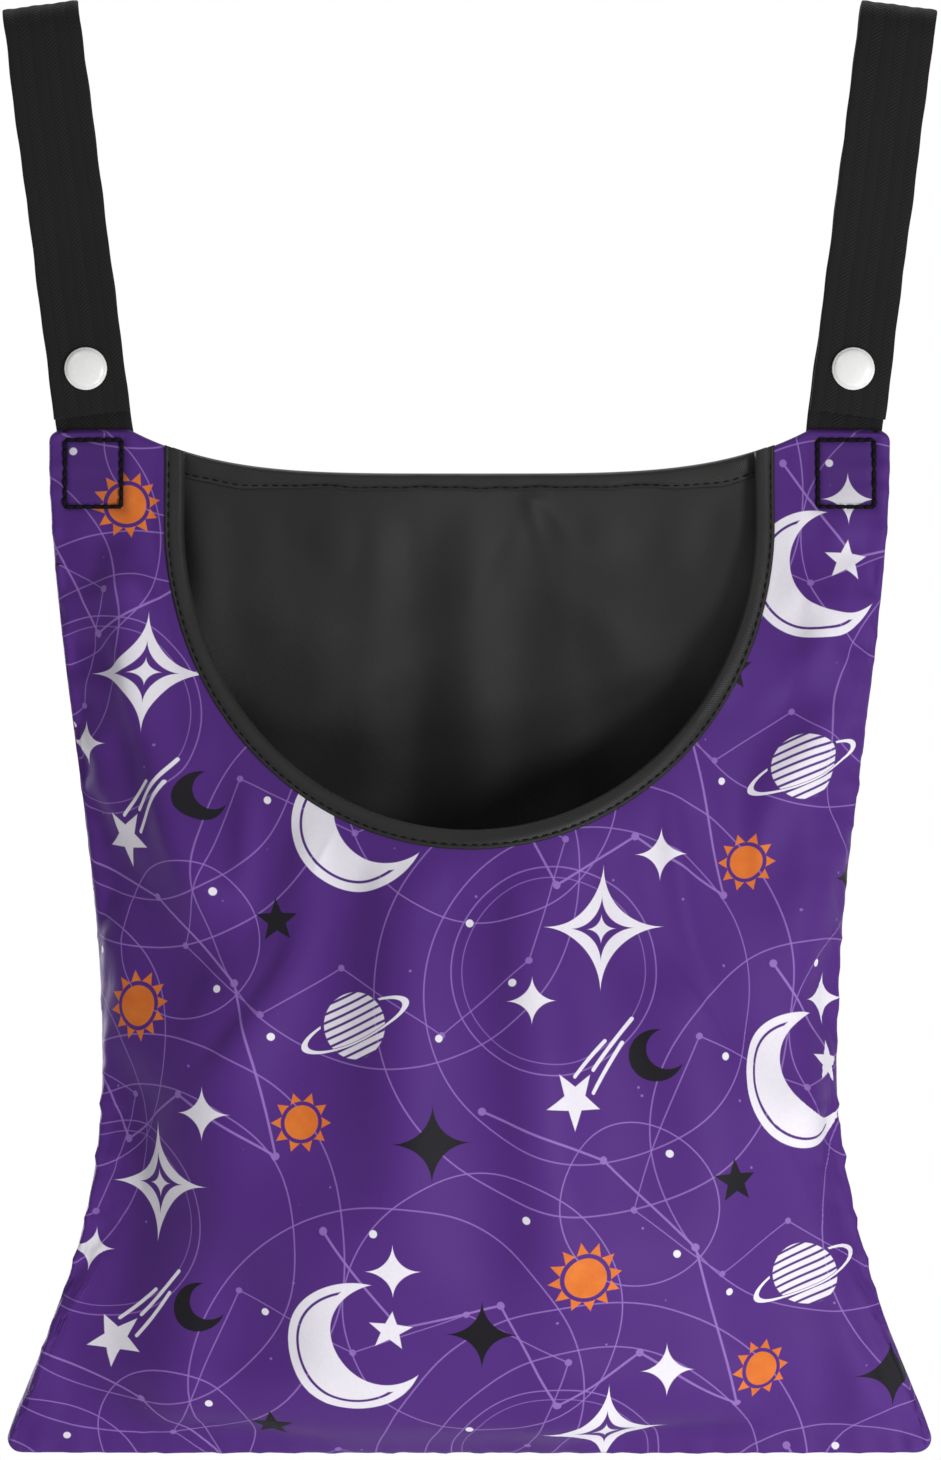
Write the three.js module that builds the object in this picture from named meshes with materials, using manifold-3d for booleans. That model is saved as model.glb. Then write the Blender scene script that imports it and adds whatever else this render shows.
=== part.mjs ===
// Peg bag: a lined cloth bag with a bound mouth, hung from a rail by two webbing straps.
// Each strap folds over the rail and snaps back on to itself with a plastic press snap.
// Millimetres, +Z up. The front faces -Y. The origin is on the rail's axis, midway between the straps.

import * as THREE from 'three';
import { mergeVertices } from 'three/addons/utils/BufferGeometryUtils.js';
import Module from 'manifold-3d';

// Gap left between two pieces that touch on the real bag
const CLEARANCE = 0.3;

// Webbing straps
const WEBBING_WIDTH = 25;
const WEBBING_THICK = 1.5;
const LOOP_RADIUS = 9;
const RAIL_TO_BAG = 129;
const STRAP_SPREAD_AT_RAIL = 140;
const STRAP_SPREAD_AT_BAG = 123;
const FLEX_ABOVE_BAG = 3;
const SEWN_END_DEPTH = 27;
const TAIL_END_ABOVE_BAG = 5;
const LAYERS_PART_ABOVE_BAG = 36;

// Press snaps
const SNAP_ABOVE_BAG = 20;
const CAP_DIAMETER = 14;
const CAP_RIM = 0.7;
const CAP_DOME = 1.7;
const POST_DIAMETER = 2.4;
const SNAP_BODY_DIAMETER = 10;
const STUD_BASE = 0.8;
const STUD_BALL_DIAMETER = 4.8;
const STUD_BALL_HEIGHT = 1.1;
const SOCKET_BASE = 0.8;
const SOCKET_DEPTH = 1.4;

// Bag outline, measured down from its top corners
const BAG_HEIGHT = 335;
const TOP_WIDTH = 275;
const WAIST_WIDTH = 240;
const BOTTOM_WIDTH = 305;
const WAIST_DEPTH = 206;
const TOP_CORNER_RADIUS = 4;
const BOTTOM_CORNER_RADIUS = 6;
const TOP_SAG = 15;
const TOP_SAG_HALF_WIDTH = 112;

// Bag fullness
const FRONT_BULGE = 51;
const BACK_BULGE = 28;

// Main folds of the hung cloth. Each runs between two places, given as shares of the half width and
// of the height, and stands out by its rise over its half width, or sinks in where the rise is negative.
const FRONT_FOLDS = [
  { from: [-0.6, 0.92], to: [0.6, 0.92], width: 20, rise: 7 },
  { from: [-0.3, 0.78], to: [0.3, 0.78], width: 34, rise: 5.5 },
  { from: [-0.38, 0.46], to: [-0.42, 0.68], width: 22, rise: -4.5 },
  { from: [0.33, 0.46], to: [0.41, 0.68], width: 22, rise: -4.5 },
  { from: [-0.02, 0.46], to: [0.03, 0.74], width: 15, rise: -3.5 },
  { from: [0.22, 0.6], to: [0.2, 0.94], width: 13, rise: 2 },
  { from: [0.6, 0.54], to: [0.6, 0.86], width: 14, rise: 3 },
  { from: [-0.62, 0.54], to: [-0.72, 0.93], width: 16, rise: 3 },
  { from: [-0.86, 0.08], to: [-0.7, 0.42], width: 12, rise: 3.5 },
  { from: [0.66, 0.26], to: [0.74, 0.56], width: 14, rise: -3.5 },
  { from: [0.84, 0.13], to: [0.9, 0.66], width: 12, rise: 3 },
  { from: [0.86, 0.66], to: [0.88, 0.95], width: 12, rise: 3 },
  { from: [-0.88, 0.66], to: [-0.88, 0.84], width: 13, rise: -3 },
];
const BACK_FOLDS = [
  { from: [-0.35, 0.19], to: [0.35, 0.19], width: 24, rise: -3 },
  { from: [-0.28, 0.36], to: [-0.32, 0.56], width: 19, rise: -2.5 },
  { from: [0.28, 0.36], to: [0.34, 0.56], width: 19, rise: -2.5 },
  { from: [-0.85, 0.25], to: [-0.64, 0.52], width: 13, rise: 2.5 },
  { from: [0.86, 0.22], to: [0.68, 0.5], width: 13, rise: 2.5 },
  { from: [-0.1, 0.8], to: [0.1, 0.8], width: 26, rise: 2.5 },
  { from: [-0.5, 0.92], to: [0.5, 0.92], width: 18, rise: 3.5 },
];
const FOLD_EASE = 18;

// Cloth layers
const PANEL_THICK = 0.9;
const LINING_THICK = 0.5;
const LINING_SLACK = 2.2;

// Mouth in the front panel, inside its binding
const MOUTH_WIDTH = 187;
const MOUTH_STRAIGHT = 30;
const MOUTH_DEPTH = 130.5;
const BINDING_WIDTH = 6.5;
const BINDING_THICK = 0.8;
const EDGE_BINDING_WIDTH = 5;

// Square of stitching over each sewn strap end
const BOX_STITCH_WIDTH = 19.5;
const BOX_STITCH_HEIGHT = 23;
const BOX_STITCH_BELOW_TOP = 2.7;
const THREAD_WIDTH = 1;
const THREAD_HEIGHT = 0.5;

// Shape exponents, with no size of their own
const FLARE_START = 2.2;
const FLARE_END = 1.3;
const SAG_POWER = 4;
const LENS_POWER = 0.85;
const BULGE_LOW = 1.35;

// Facet counts
const CLOTH_COLUMNS = 22;
const CLOTH_ROWS = 16;
const CORNER_ROWS = 2;
const MOUTH_FACETS = 24;
const FOLD_FACETS = 9;
const BEND_FACETS = 8;
const ROUND_FACETS = 20;
const DOME_FACETS = 4;
const EDGE_FACETS = 6;

// Sizes that follow from the ones above
const strapSplay = Math.atan((STRAP_SPREAD_AT_RAIL - STRAP_SPREAD_AT_BAG) / RAIL_TO_BAG);
const bagTopZ = -RAIL_TO_BAG;
const flexSpread = STRAP_SPREAD_AT_BAG + FLEX_ABOVE_BAG * Math.tan(strapSplay);
const socketHeight = SOCKET_BASE + SOCKET_DEPTH;
const snapGap = STUD_BASE + socketHeight + 3 * CLEARANCE;
const layerY = (snapGap + WEBBING_THICK) / 2;
const loopMiddle = LOOP_RADIUS + WEBBING_THICK / 2;
const postRadius = POST_DIAMETER / 2;
const postHole = postRadius + CLEARANCE;
const ballRadius = STUD_BALL_DIAMETER / 2;
const mouthHalf = MOUTH_WIDTH / 2;
const liningInner = -(CLEARANCE + LINING_THICK);
const seamHalfGap = CLEARANCE / 2 - liningInner;
const cornerHalfGap = WEBBING_THICK / 2 + CLEARANCE - liningInner;
const reach = 2 * (BAG_HEIGHT + TOP_WIDTH + BOTTOM_WIDTH);

const colours = {
  print: new THREE.MeshStandardMaterial({ color: 0x5b3a86, roughness: 0.7, metalness: 0 }),
  lining: new THREE.MeshStandardMaterial({ color: 0x242327, roughness: 0.6, metalness: 0 }),
  binding: new THREE.MeshStandardMaterial({ color: 0x1b1a1d, roughness: 0.75, metalness: 0 }),
  webbing: new THREE.MeshStandardMaterial({ color: 0x1f1f21, roughness: 0.85, metalness: 0 }),
  thread: new THREE.MeshStandardMaterial({ color: 0x141416, roughness: 0.7, metalness: 0 }),
  snap: new THREE.MeshStandardMaterial({ color: 0xf2f2f0, roughness: 0.25, metalness: 0 }),
};

const wasm = await Module();
wasm.setup();

function solid(geometry) {
  const bare = geometry.clone();
  bare.deleteAttribute('normal');
  bare.deleteAttribute('uv');
  const merged = mergeVertices(bare);
  const vertProperties = new Float32Array(merged.attributes.position.array);
  const triVerts = new Uint32Array(merged.index.array);
  return new wasm.Manifold(new wasm.Mesh({ numProp: 3, vertProperties, triVerts }));
}

function geometryOf(manifold) {
  const { vertProperties, triVerts } = manifold.getMesh();
  const geometry = new THREE.BufferGeometry();
  geometry.setAttribute('position', new THREE.BufferAttribute(vertProperties, 3));
  geometry.setIndex(new THREE.BufferAttribute(triVerts, 1));
  geometry.computeVertexNormals();
  return geometry;
}

function addPiece(group, name, geometry, material) {
  const mesh = new THREE.Mesh(geometry, material);
  mesh.name = name;
  group.add(mesh);
  return mesh;
}

// Prism of a flat X-Z outline, through the whole bag along Y
function prism(shape) {
  const geometry = new THREE.ExtrudeGeometry(shape, {
    depth: reach,
    bevelEnabled: false,
    curveSegments: MOUTH_FACETS,
  });
  geometry.rotateX(Math.PI / 2);
  geometry.translate(0, reach / 2, 0);
  return solid(geometry);
}

function rectangle(left, right, bottom, top) {
  const shape = new THREE.Shape();
  shape.moveTo(left, bottom);
  shape.lineTo(right, bottom);
  shape.lineTo(right, top);
  shape.lineTo(left, top);
  shape.closePath();
  return shape;
}

// Bag cloth. A point of a panel is set by u, from -1 at the left seam to 1 at the right one,
// and by how far down the panel it lies. Heights are from the top corners, depths from the seam plane.

function smoothFall(share) {
  return (1 + Math.cos(Math.PI * THREE.MathUtils.clamp(share, 0, 1))) / 2;
}

function seamHalfWidth(down) {
  const waist = WAIST_WIDTH / 2;
  if (down < WAIST_DEPTH) {
    return waist + (TOP_WIDTH / 2 - waist) * smoothFall(down / WAIST_DEPTH);
  }
  const share = Math.min((down - WAIST_DEPTH) / (BAG_HEIGHT - WAIST_DEPTH), 1);
  const flare = 1 - (1 - share ** FLARE_START) ** FLARE_END;
  return waist + (BOTTOM_WIDTH / 2 - waist) * flare;
}

function cornerCut(distance, radius) {
  const inside = Math.max(radius - distance, 0);
  return radius - Math.sqrt(radius ** 2 - Math.min(inside, radius) ** 2);
}

function edgeHalfWidth(down) {
  const topCut = cornerCut(down, TOP_CORNER_RADIUS);
  const bottomCut = cornerCut(BAG_HEIGHT - down, BOTTOM_CORNER_RADIUS);
  return seamHalfWidth(down) - topCut - bottomCut;
}

function topSag(x) {
  const share = Math.min(Math.abs(x) / TOP_SAG_HALF_WIDTH, 1);
  return TOP_SAG * (1 - share ** SAG_POWER);
}

function seamGap(down) {
  const below = (down - SEWN_END_DEPTH) / SEWN_END_DEPTH;
  return seamHalfGap + (cornerHalfGap - seamHalfGap) * smoothFall(below);
}

function bulgeShare(u, down) {
  const lens = Math.max(1 - u * u, 0) ** LENS_POWER;
  return lens * Math.sin(Math.PI * (down / BAG_HEIGHT) ** BULGE_LOW);
}

function clothPoint(side, bulge, u, down) {
  const inBag = THREE.MathUtils.clamp(down, 0, BAG_HEIGHT);
  const x = u * edgeHalfWidth(inBag);
  const sag = topSag(x) * (1 - inBag / BAG_HEIGHT);
  const depth = seamGap(inBag) + bulge * bulgeShare(x / seamHalfWidth(inBag), inBag);
  return new THREE.Vector3(x, side * depth, -down - sag);
}

function cornerRows(radius) {
  const rows = [];
  for (let row = 0; row < CORNER_ROWS; row += 1) {
    rows.push(radius * (1 - Math.cos((Math.PI / 2) * (row / CORNER_ROWS))));
  }
  return rows;
}

// Rows run close together round the corners and evenly between them
function panelRows() {
  const plain = BAG_HEIGHT - TOP_CORNER_RADIUS - BOTTOM_CORNER_RADIUS;
  const rows = cornerRows(TOP_CORNER_RADIUS);
  for (let row = 0; row <= CLOTH_ROWS; row += 1) {
    rows.push(TOP_CORNER_RADIUS + (plain * row) / CLOTH_ROWS);
  }
  const bottom = cornerRows(BOTTOM_CORNER_RADIUS).reverse();
  return rows.concat(bottom.map((row) => BAG_HEIGHT - row));
}

// Folds die out towards the seams and round the sewn strap ends
function foldEase(x, down) {
  const fromSeam = Math.min(seamHalfWidth(down) - Math.abs(x), BAG_HEIGHT - down);
  const belowStrap = (down - SEWN_END_DEPTH) / SEWN_END_DEPTH;
  return (1 - smoothFall(fromSeam / FOLD_EASE)) * (1 - smoothFall(belowStrap));
}

function foldEnd([across, share]) {
  const down = share * BAG_HEIGHT;
  return new THREE.Vector2(across * seamHalfWidth(down), down);
}

function foldHeight(folds, x, down) {
  const place = new THREE.Vector2(x, down);
  let height = 0;
  for (const { from, to, width, rise } of folds) {
    const start = foldEnd(from);
    const run = foldEnd(to).sub(start);
    const share = place.clone().sub(start).dot(run) / run.lengthSq();
    const nearest = start.addScaledVector(run, THREE.MathUtils.clamp(share, 0, 1));
    height += rise * Math.exp(-((place.distanceTo(nearest) / width) ** 2));
  }
  return height * foldEase(x, down);
}

function gridNormals(points, side) {
  const last = points.length - 1;
  return points.map((line, row) => line.map((point, column) => {
    const right = line[Math.min(column + 1, CLOTH_COLUMNS)];
    const left = line[Math.max(column - 1, 0)];
    const below = points[Math.min(row + 1, last)][column];
    const above = points[Math.max(row - 1, 0)][column];
    const across = right.clone().sub(left);
    const down = below.clone().sub(above);
    const normal = across.cross(down).normalize();
    return normal.y * side > 0 ? normal : normal.negate();
  }));
}

// Grid of points and outward normals over the smooth inner face of a panel
function clothGrid(side, bulge, rows) {
  const points = rows.map((down) => {
    const line = [];
    for (let column = 0; column <= CLOTH_COLUMNS; column += 1) {
      line.push(clothPoint(side, bulge, (2 * column) / CLOTH_COLUMNS - 1, down));
    }
    return line;
  });
  return { rows, points, normals: gridNormals(points, side), side };
}

// The same grid, moved outwards by a height at each place
function movedGrid({ rows, points, normals, side }, heightAt) {
  const moved = points.map((line, row) => line.map((point, column) => {
    const height = heightAt(point.x, THREE.MathUtils.clamp(rows[row], 0, BAG_HEIGHT));
    return point.clone().addScaledVector(normals[row][column], height);
  }));
  return { rows, points: moved, normals: gridNormals(moved, side), side };
}

// Closed sheet between two offsets from the grid, positive outwards
function clothLayer(grid, inner, outer) {
  const rows = grid.points.length;
  const columns = CLOTH_COLUMNS + 1;
  const positions = [];
  for (const offset of [inner, outer]) {
    grid.points.forEach((line, row) => line.forEach((point, column) => {
      const moved = point.clone().addScaledVector(grid.normals[row][column], offset);
      positions.push(moved.x, moved.y, moved.z);
    }));
  }
  const index = [];
  const face = (a, b, c, d) => {
    const loop = grid.side < 0 ? [a, b, c, a, c, d] : [c, b, a, d, c, a];
    index.push(...loop);
  };
  const at = (layer, row, column) => (layer * rows + row) * columns + column;
  for (let row = 0; row < rows - 1; row += 1) {
    for (let column = 0; column < columns - 1; column += 1) {
      face(at(0, row, column), at(0, row, column + 1), at(0, row + 1, column + 1), at(0, row + 1, column));
      face(at(1, row, column), at(1, row + 1, column), at(1, row + 1, column + 1), at(1, row, column + 1));
    }
    face(at(0, row, 0), at(0, row + 1, 0), at(1, row + 1, 0), at(1, row, 0));
    const end = columns - 1;
    face(at(0, row, end), at(1, row, end), at(1, row + 1, end), at(0, row + 1, end));
  }
  for (let column = 0; column < columns - 1; column += 1) {
    const foot = rows - 1;
    face(at(0, 0, column), at(1, 0, column), at(1, 0, column + 1), at(0, 0, column + 1));
    face(at(0, foot, column), at(0, foot, column + 1), at(1, foot, column + 1), at(1, foot, column));
  }
  const geometry = new THREE.BufferGeometry();
  geometry.setAttribute('position', new THREE.Float32BufferAttribute(positions, 3));
  geometry.setIndex(index);
  return geometry;
}

// Mouth outline: straight sides from above the bag's top, closed by half an ellipse, grown all round
function mouthShape(grown) {
  const half = mouthHalf + grown;
  const shape = new THREE.Shape();
  shape.moveTo(half, BAG_HEIGHT);
  shape.lineTo(-half, BAG_HEIGHT);
  shape.lineTo(-half, -MOUTH_STRAIGHT);
  shape.absellipse(0, -MOUTH_STRAIGHT, half, MOUTH_DEPTH - MOUTH_STRAIGHT + grown, Math.PI, 2 * Math.PI, false, 0);
  shape.closePath();
  return shape;
}

const bag = new THREE.Group();
bag.position.set(0, layerY, bagTopZ);

const frontGrid = movedGrid(
  clothGrid(-1, FRONT_BULGE, panelRows()),
  (x, down) => foldHeight(FRONT_FOLDS, x, down),
);
const backGrid = movedGrid(
  clothGrid(1, BACK_BULGE, panelRows()),
  (x, down) => foldHeight(BACK_FOLDS, x, down),
);
const slackGrid = movedGrid(backGrid, (x, down) => -LINING_SLACK * foldEase(x, down));

function buildPanels() {
  const clothCut = prism(mouthShape(BINDING_THICK + CLEARANCE));
  const frontPanel = solid(clothLayer(frontGrid, 0, PANEL_THICK)).subtract(clothCut);
  const frontLining = solid(clothLayer(frontGrid, liningInner, -CLEARANCE)).subtract(clothCut);
  addPiece(bag, 'front_panel', geometryOf(frontPanel), colours.print);
  addPiece(bag, 'front_lining', geometryOf(frontLining), colours.lining);
  addPiece(bag, 'back_panel', clothLayer(backGrid, 0, PANEL_THICK), colours.print);
  addPiece(bag, 'back_lining', clothLayer(slackGrid, liningInner, -CLEARANCE), colours.lining);
}

// A binding is a tape folded over an edge: one leaf on each face of the cloth, joined past the edge
const leafOutside = PANEL_THICK + CLEARANCE;
const leafInside = liningInner - CLEARANCE;

function foldedTape(grid, leafArea, edgeArea) {
  const outside = solid(clothLayer(grid, leafOutside, leafOutside + BINDING_THICK)).intersect(leafArea);
  const inside = solid(clothLayer(grid, leafInside - BINDING_THICK, leafInside)).intersect(leafArea);
  const edge = solid(clothLayer(grid, leafInside - BINDING_THICK, leafOutside + BINDING_THICK)).intersect(edgeArea);
  return outside.add(inside).add(edge);
}

function buildMouthBinding() {
  const opening = prism(mouthShape(0));
  const leafArea = prism(mouthShape(BINDING_WIDTH)).subtract(opening);
  const edgeArea = prism(mouthShape(BINDING_THICK)).subtract(opening);
  const tape = foldedTape(frontGrid, leafArea, edgeArea);
  addPiece(bag, 'mouth_binding', geometryOf(tape), colours.binding);
}

// The tape on the back's top edge stands a little above the cloth and ends inside the mouth
function buildEdgeBinding() {
  const crest = -(CLEARANCE + BINDING_THICK);
  const half = mouthHalf - CLEARANCE;
  const area = prism(rectangle(-half, half, -BAG_HEIGHT, BAG_HEIGHT));
  const leaf = clothGrid(1, BACK_BULGE, [crest, -CLEARANCE, 0, EDGE_BINDING_WIDTH]);
  const edge = clothGrid(1, BACK_BULGE, [crest, -CLEARANCE]);
  const outside = solid(clothLayer(leaf, leafOutside, leafOutside + BINDING_THICK));
  const inside = solid(clothLayer(leaf, leafInside - BINDING_THICK, leafInside));
  const ridge = solid(clothLayer(edge, leafInside - BINDING_THICK, leafOutside + BINDING_THICK));
  const tape = outside.add(inside).add(ridge).intersect(area);
  addPiece(bag, 'back_edge_binding', geometryOf(tape), colours.binding);
}

// Webbing end sewn between the panels; its rounded top is where the strap bends as the bag swings
function buildSewnEnd(name, side) {
  const shape = new THREE.Shape();
  const half = WEBBING_THICK / 2;
  shape.moveTo(-half, -SEWN_END_DEPTH);
  shape.lineTo(half, -SEWN_END_DEPTH);
  shape.lineTo(half, FLEX_ABOVE_BAG);
  shape.absarc(0, FLEX_ABOVE_BAG, half, 0, Math.PI, false);
  shape.closePath();
  const end = addPiece(bag, name, acrossStrap(shape), colours.webbing);
  end.position.x = side * flexSpread;
}

function buildBoxStitch(name, side) {
  const middle = side * flexSpread;
  const half = BOX_STITCH_WIDTH / 2;
  const top = -BOX_STITCH_BELOW_TOP;
  const bottom = top - BOX_STITCH_HEIGHT;
  const outer = prism(rectangle(middle - half, middle + half, bottom, top));
  const inner = prism(rectangle(
    middle - half + THREAD_WIDTH,
    middle + half - THREAD_WIDTH,
    bottom + THREAD_WIDTH,
    top - THREAD_WIDTH,
  ));
  const thread = solid(clothLayer(frontGrid, leafOutside, leafOutside + THREAD_HEIGHT));
  const ring = thread.intersect(outer.subtract(inner));
  addPiece(bag, name, geometryOf(ring), colours.thread);
}

// Straps. In a strap's own group X runs across the webbing, Y through it and Z along it,
// with the origin in the middle of the fold, on the rail's axis.

function alongStrap(aboveBag) {
  return (aboveBag - RAIL_TO_BAG) / Math.cos(strapSplay);
}

// Extrudes a Y-Z outline over the webbing's width
function acrossStrap(shape) {
  const geometry = new THREE.ExtrudeGeometry(shape, {
    depth: WEBBING_WIDTH,
    bevelEnabled: false,
    curveSegments: EDGE_FACETS,
  });
  geometry.translate(0, 0, -WEBBING_WIDTH / 2);
  const turn = new THREE.Matrix4().makeBasis(
    new THREE.Vector3(0, 1, 0),
    new THREE.Vector3(0, 0, 1),
    new THREE.Vector3(1, 0, 0),
  );
  return geometry.applyMatrix4(turn);
}

// Outline of a layer of webbing: upright beside the snap, then easing out to the side of the fold
function layerShape(side, lowest, highest) {
  const part = alongStrap(LAYERS_PART_ABOVE_BAG);
  const bend = new THREE.CubicBezierCurve(
    new THREE.Vector2(side * layerY, part),
    new THREE.Vector2(side * layerY, part / 2),
    new THREE.Vector2(side * loopMiddle, part / 2),
    new THREE.Vector2(side * loopMiddle, highest),
  );
  const half = WEBBING_THICK / 2;
  const left = [new THREE.Vector2(side * layerY - half, lowest)];
  const right = [new THREE.Vector2(side * layerY + half, lowest)];
  for (let step = 0; step <= BEND_FACETS; step += 1) {
    const point = bend.getPoint(step / BEND_FACETS);
    const along = bend.getTangent(step / BEND_FACETS);
    const normal = new THREE.Vector2(along.y, -along.x);
    right.push(point.clone().addScaledVector(normal, half));
    left.push(point.clone().addScaledVector(normal, -half));
  }
  return new THREE.Shape(right.concat(left.reverse()));
}

function foldShape() {
  const outer = LOOP_RADIUS + WEBBING_THICK;
  const points = [];
  for (let step = 0; step <= FOLD_FACETS; step += 1) {
    const angle = (Math.PI * step) / FOLD_FACETS;
    points.push(new THREE.Vector2(outer * Math.cos(angle), outer * Math.sin(angle)));
  }
  for (let step = FOLD_FACETS; step >= 0; step -= 1) {
    const angle = (Math.PI * step) / FOLD_FACETS;
    points.push(new THREE.Vector2(LOOP_RADIUS * Math.cos(angle), LOOP_RADIUS * Math.sin(angle)));
  }
  return new THREE.Shape(points);
}

function snapHole() {
  const hole = new THREE.CylinderGeometry(postHole, postHole, reach, ROUND_FACETS);
  hole.translate(0, 0, alongStrap(SNAP_ABOVE_BAG));
  return solid(hole);
}

// The standing layer ends level with the bag's top edge, just above the rounded sewn end
function buildStrap(group, name, side) {
  const ends = FLEX_ABOVE_BAG + WEBBING_THICK / 2 + CLEARANCE;
  const below = new THREE.BoxGeometry(reach, reach, reach);
  below.translate(0, 0, -reach / 2 + ends - RAIL_TO_BAG);
  below.rotateY(-side * strapSplay);
  const strip = solid(acrossStrap(layerShape(1, alongStrap(-WEBBING_WIDTH), -CLEARANCE)));
  const strap = strip.subtract(solid(below)).subtract(snapHole());
  addPiece(group, name, geometryOf(strap), colours.webbing);
}

function buildTail(group, name) {
  const strip = solid(acrossStrap(layerShape(-1, alongStrap(TAIL_END_ABOVE_BAG), -CLEARANCE)));
  addPiece(group, name, geometryOf(strip.subtract(snapHole())), colours.webbing);
}

// Press snaps, turned about Y. Each profile runs from its back to its front in radius and depth.

const snapFace = layerY - WEBBING_THICK / 2;
const studFace = snapFace - CLEARANCE - STUD_BASE;
const socketFace = studFace - CLEARANCE;
const socketFloor = socketFace - SOCKET_DEPTH;
const ballTop = studFace - STUD_BALL_HEIGHT;
const capSeat = layerY + WEBBING_THICK / 2 + CLEARANCE;

function turned(profile) {
  const points = profile.map(([radius, depth]) => new THREE.Vector2(radius, depth));
  return new THREE.LatheGeometry(points, ROUND_FACETS);
}

// Domed cap with a post; the post's tip is spread inside the stud or the socket
function capGeometry(postTip) {
  const radius = CAP_DIAMETER / 2;
  const profile = [[0, postTip], [postRadius, postTip], [postRadius, capSeat], [radius, capSeat]];
  for (let step = 0; step < DOME_FACETS; step += 1) {
    const angle = (Math.PI / 2) * (step / DOME_FACETS);
    profile.push([radius * Math.cos(angle), capSeat + CAP_RIM + CAP_DOME * Math.sin(angle)]);
  }
  profile.push([0, capSeat + CAP_RIM + CAP_DOME]);
  return turned(profile);
}

function studGeometry() {
  const body = SNAP_BODY_DIAMETER / 2;
  const neck = (ballRadius + postHole) / 2;
  const back = snapFace - CLEARANCE;
  const middle = (studFace + ballTop) / 2;
  return turned([
    [postHole, ballTop],
    [neck, ballTop],
    [ballRadius, middle],
    [neck, studFace],
    [body, studFace],
    [body, back],
    [postHole, back],
    [postHole, ballTop],
  ]);
}

function socketGeometry() {
  const body = SNAP_BODY_DIAMETER / 2;
  const bore = ballRadius + CLEARANCE;
  const back = socketFace - socketHeight;
  return turned([
    [postHole, back],
    [body, back],
    [body, socketFace],
    [bore, socketFace],
    [bore, socketFloor],
    [postHole, socketFloor],
    [postHole, back],
  ]);
}

function buildSnap(group, label) {
  const height = alongStrap(SNAP_ABOVE_BAG);
  const front = addPiece(group, `${label}_snap_cap`, capGeometry(-socketFloor), colours.snap);
  front.rotation.x = Math.PI;
  const back = addPiece(group, `${label}_stud_cap`, capGeometry(studFace), colours.snap);
  const stud = addPiece(group, `${label}_snap_stud`, studGeometry(), colours.snap);
  const socket = addPiece(group, `${label}_snap_socket`, socketGeometry(), colours.snap);
  for (const piece of [front, back, stud, socket]) {
    piece.position.z = height;
  }
}

const pegBag = new THREE.Group();
pegBag.name = 'peg_bag';
pegBag.add(bag);
buildPanels();
buildMouthBinding();
buildEdgeBinding();

for (const [label, side] of [['left', -1], ['right', 1]]) {
  buildSewnEnd(`${label}_sewn_end`, side);
  buildBoxStitch(`${label}_box_stitch`, side);
  const strap = new THREE.Group();
  strap.position.x = side * STRAP_SPREAD_AT_RAIL;
  strap.rotation.y = side * strapSplay;
  pegBag.add(strap);
  buildStrap(strap, `${label}_strap`, side);
  addPiece(strap, `${label}_fold`, acrossStrap(foldShape()), colours.webbing);
  buildTail(strap, `${label}_tail`);
  buildSnap(strap, label);
}

export default pegBag;
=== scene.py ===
import math

import bpy
import numpy as np
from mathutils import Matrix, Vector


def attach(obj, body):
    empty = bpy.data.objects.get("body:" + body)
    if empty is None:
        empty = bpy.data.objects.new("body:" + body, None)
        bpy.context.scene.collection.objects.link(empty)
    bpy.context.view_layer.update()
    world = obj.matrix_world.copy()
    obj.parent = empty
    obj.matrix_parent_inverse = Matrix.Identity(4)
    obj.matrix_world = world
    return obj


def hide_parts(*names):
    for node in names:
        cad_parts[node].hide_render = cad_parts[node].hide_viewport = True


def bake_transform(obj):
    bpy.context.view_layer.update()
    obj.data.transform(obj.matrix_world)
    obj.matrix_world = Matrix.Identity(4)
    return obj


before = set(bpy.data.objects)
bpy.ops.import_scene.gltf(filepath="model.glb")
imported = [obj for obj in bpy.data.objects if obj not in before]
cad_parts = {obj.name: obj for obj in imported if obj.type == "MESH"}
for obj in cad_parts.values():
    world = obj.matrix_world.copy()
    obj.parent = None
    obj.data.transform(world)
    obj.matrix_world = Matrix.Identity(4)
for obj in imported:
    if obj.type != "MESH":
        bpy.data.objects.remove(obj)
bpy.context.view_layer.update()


# Front panel: purple polyester with a printed pattern, cut in one piece with a deep U-shaped mouth.
# It is sewn to the back panel down the sides and along the bottom, then turned right side out,
# so its edge rolls into the seam. Its two top corners are hemmed over the ends of the straps.

BAG_HEIGHT = 335.0
TOP_HALF = 137.5
WAIST_HALF = 120.0
BOTTOM_HALF = 152.5
WAIST_DOWN = 206.0
FLARE_START = 2.2
FLARE_END = 1.3
TOP_CORNER = 4.0
BOTTOM_CORNER = 6.0
TOP_SAG = 15.0
SAG_HALF = 112.0
FRONT_BULGE = 51.0
SWELL_ACROSS = 0.85
SWELL_DOWN = 1.35
PANEL_THICK = 0.9
SEAM_GAP = 0.95
SEAM_ROLL = 1.3
SEAM_OUT = 0.1
SEAM_WIDEN = 1.0006
HEM_DEEP = 1.1
HEM_MOST = 1.2
ROLL_LEAN = 0.6
ROLL_ROWS = 5
HEM_ROWS = 4
MOUTH_HALF = 93.5
MOUTH_STRAIGHT = 30.0
MOUTH_DROP = 100.5
CUT_BACK = 1.1
STRAP_SIDE = 123.395
STRAP_DOWN = 27.0
STRAP_GAP = 0.9
# How far round each sewn strap end the cloth is coloured darker.
DARKER_OVER_STRAP_HALF = 13.5
DARKER_OVER_STRAP_DOWN = 29.0
DARKER_OVER_STRAP_FADE = 3.0
LAYER = 2.7
RAIL_HEIGHT = 129.0
BOX_HALF = 9.25
BOX_TOP = -3.2
BOX_BOTTOM = -25.2
DITCH_WIDE = 1.2
DITCH_DEEP = 0.62
FOLD_EASE = 18.0
FOLD_LIMIT = 3.0
SWAY_ROUNDS = 30
EVEN_ROUNDS = 3
FRONT_COLUMNS = 420
FRONT_ROWS = 64


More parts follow.
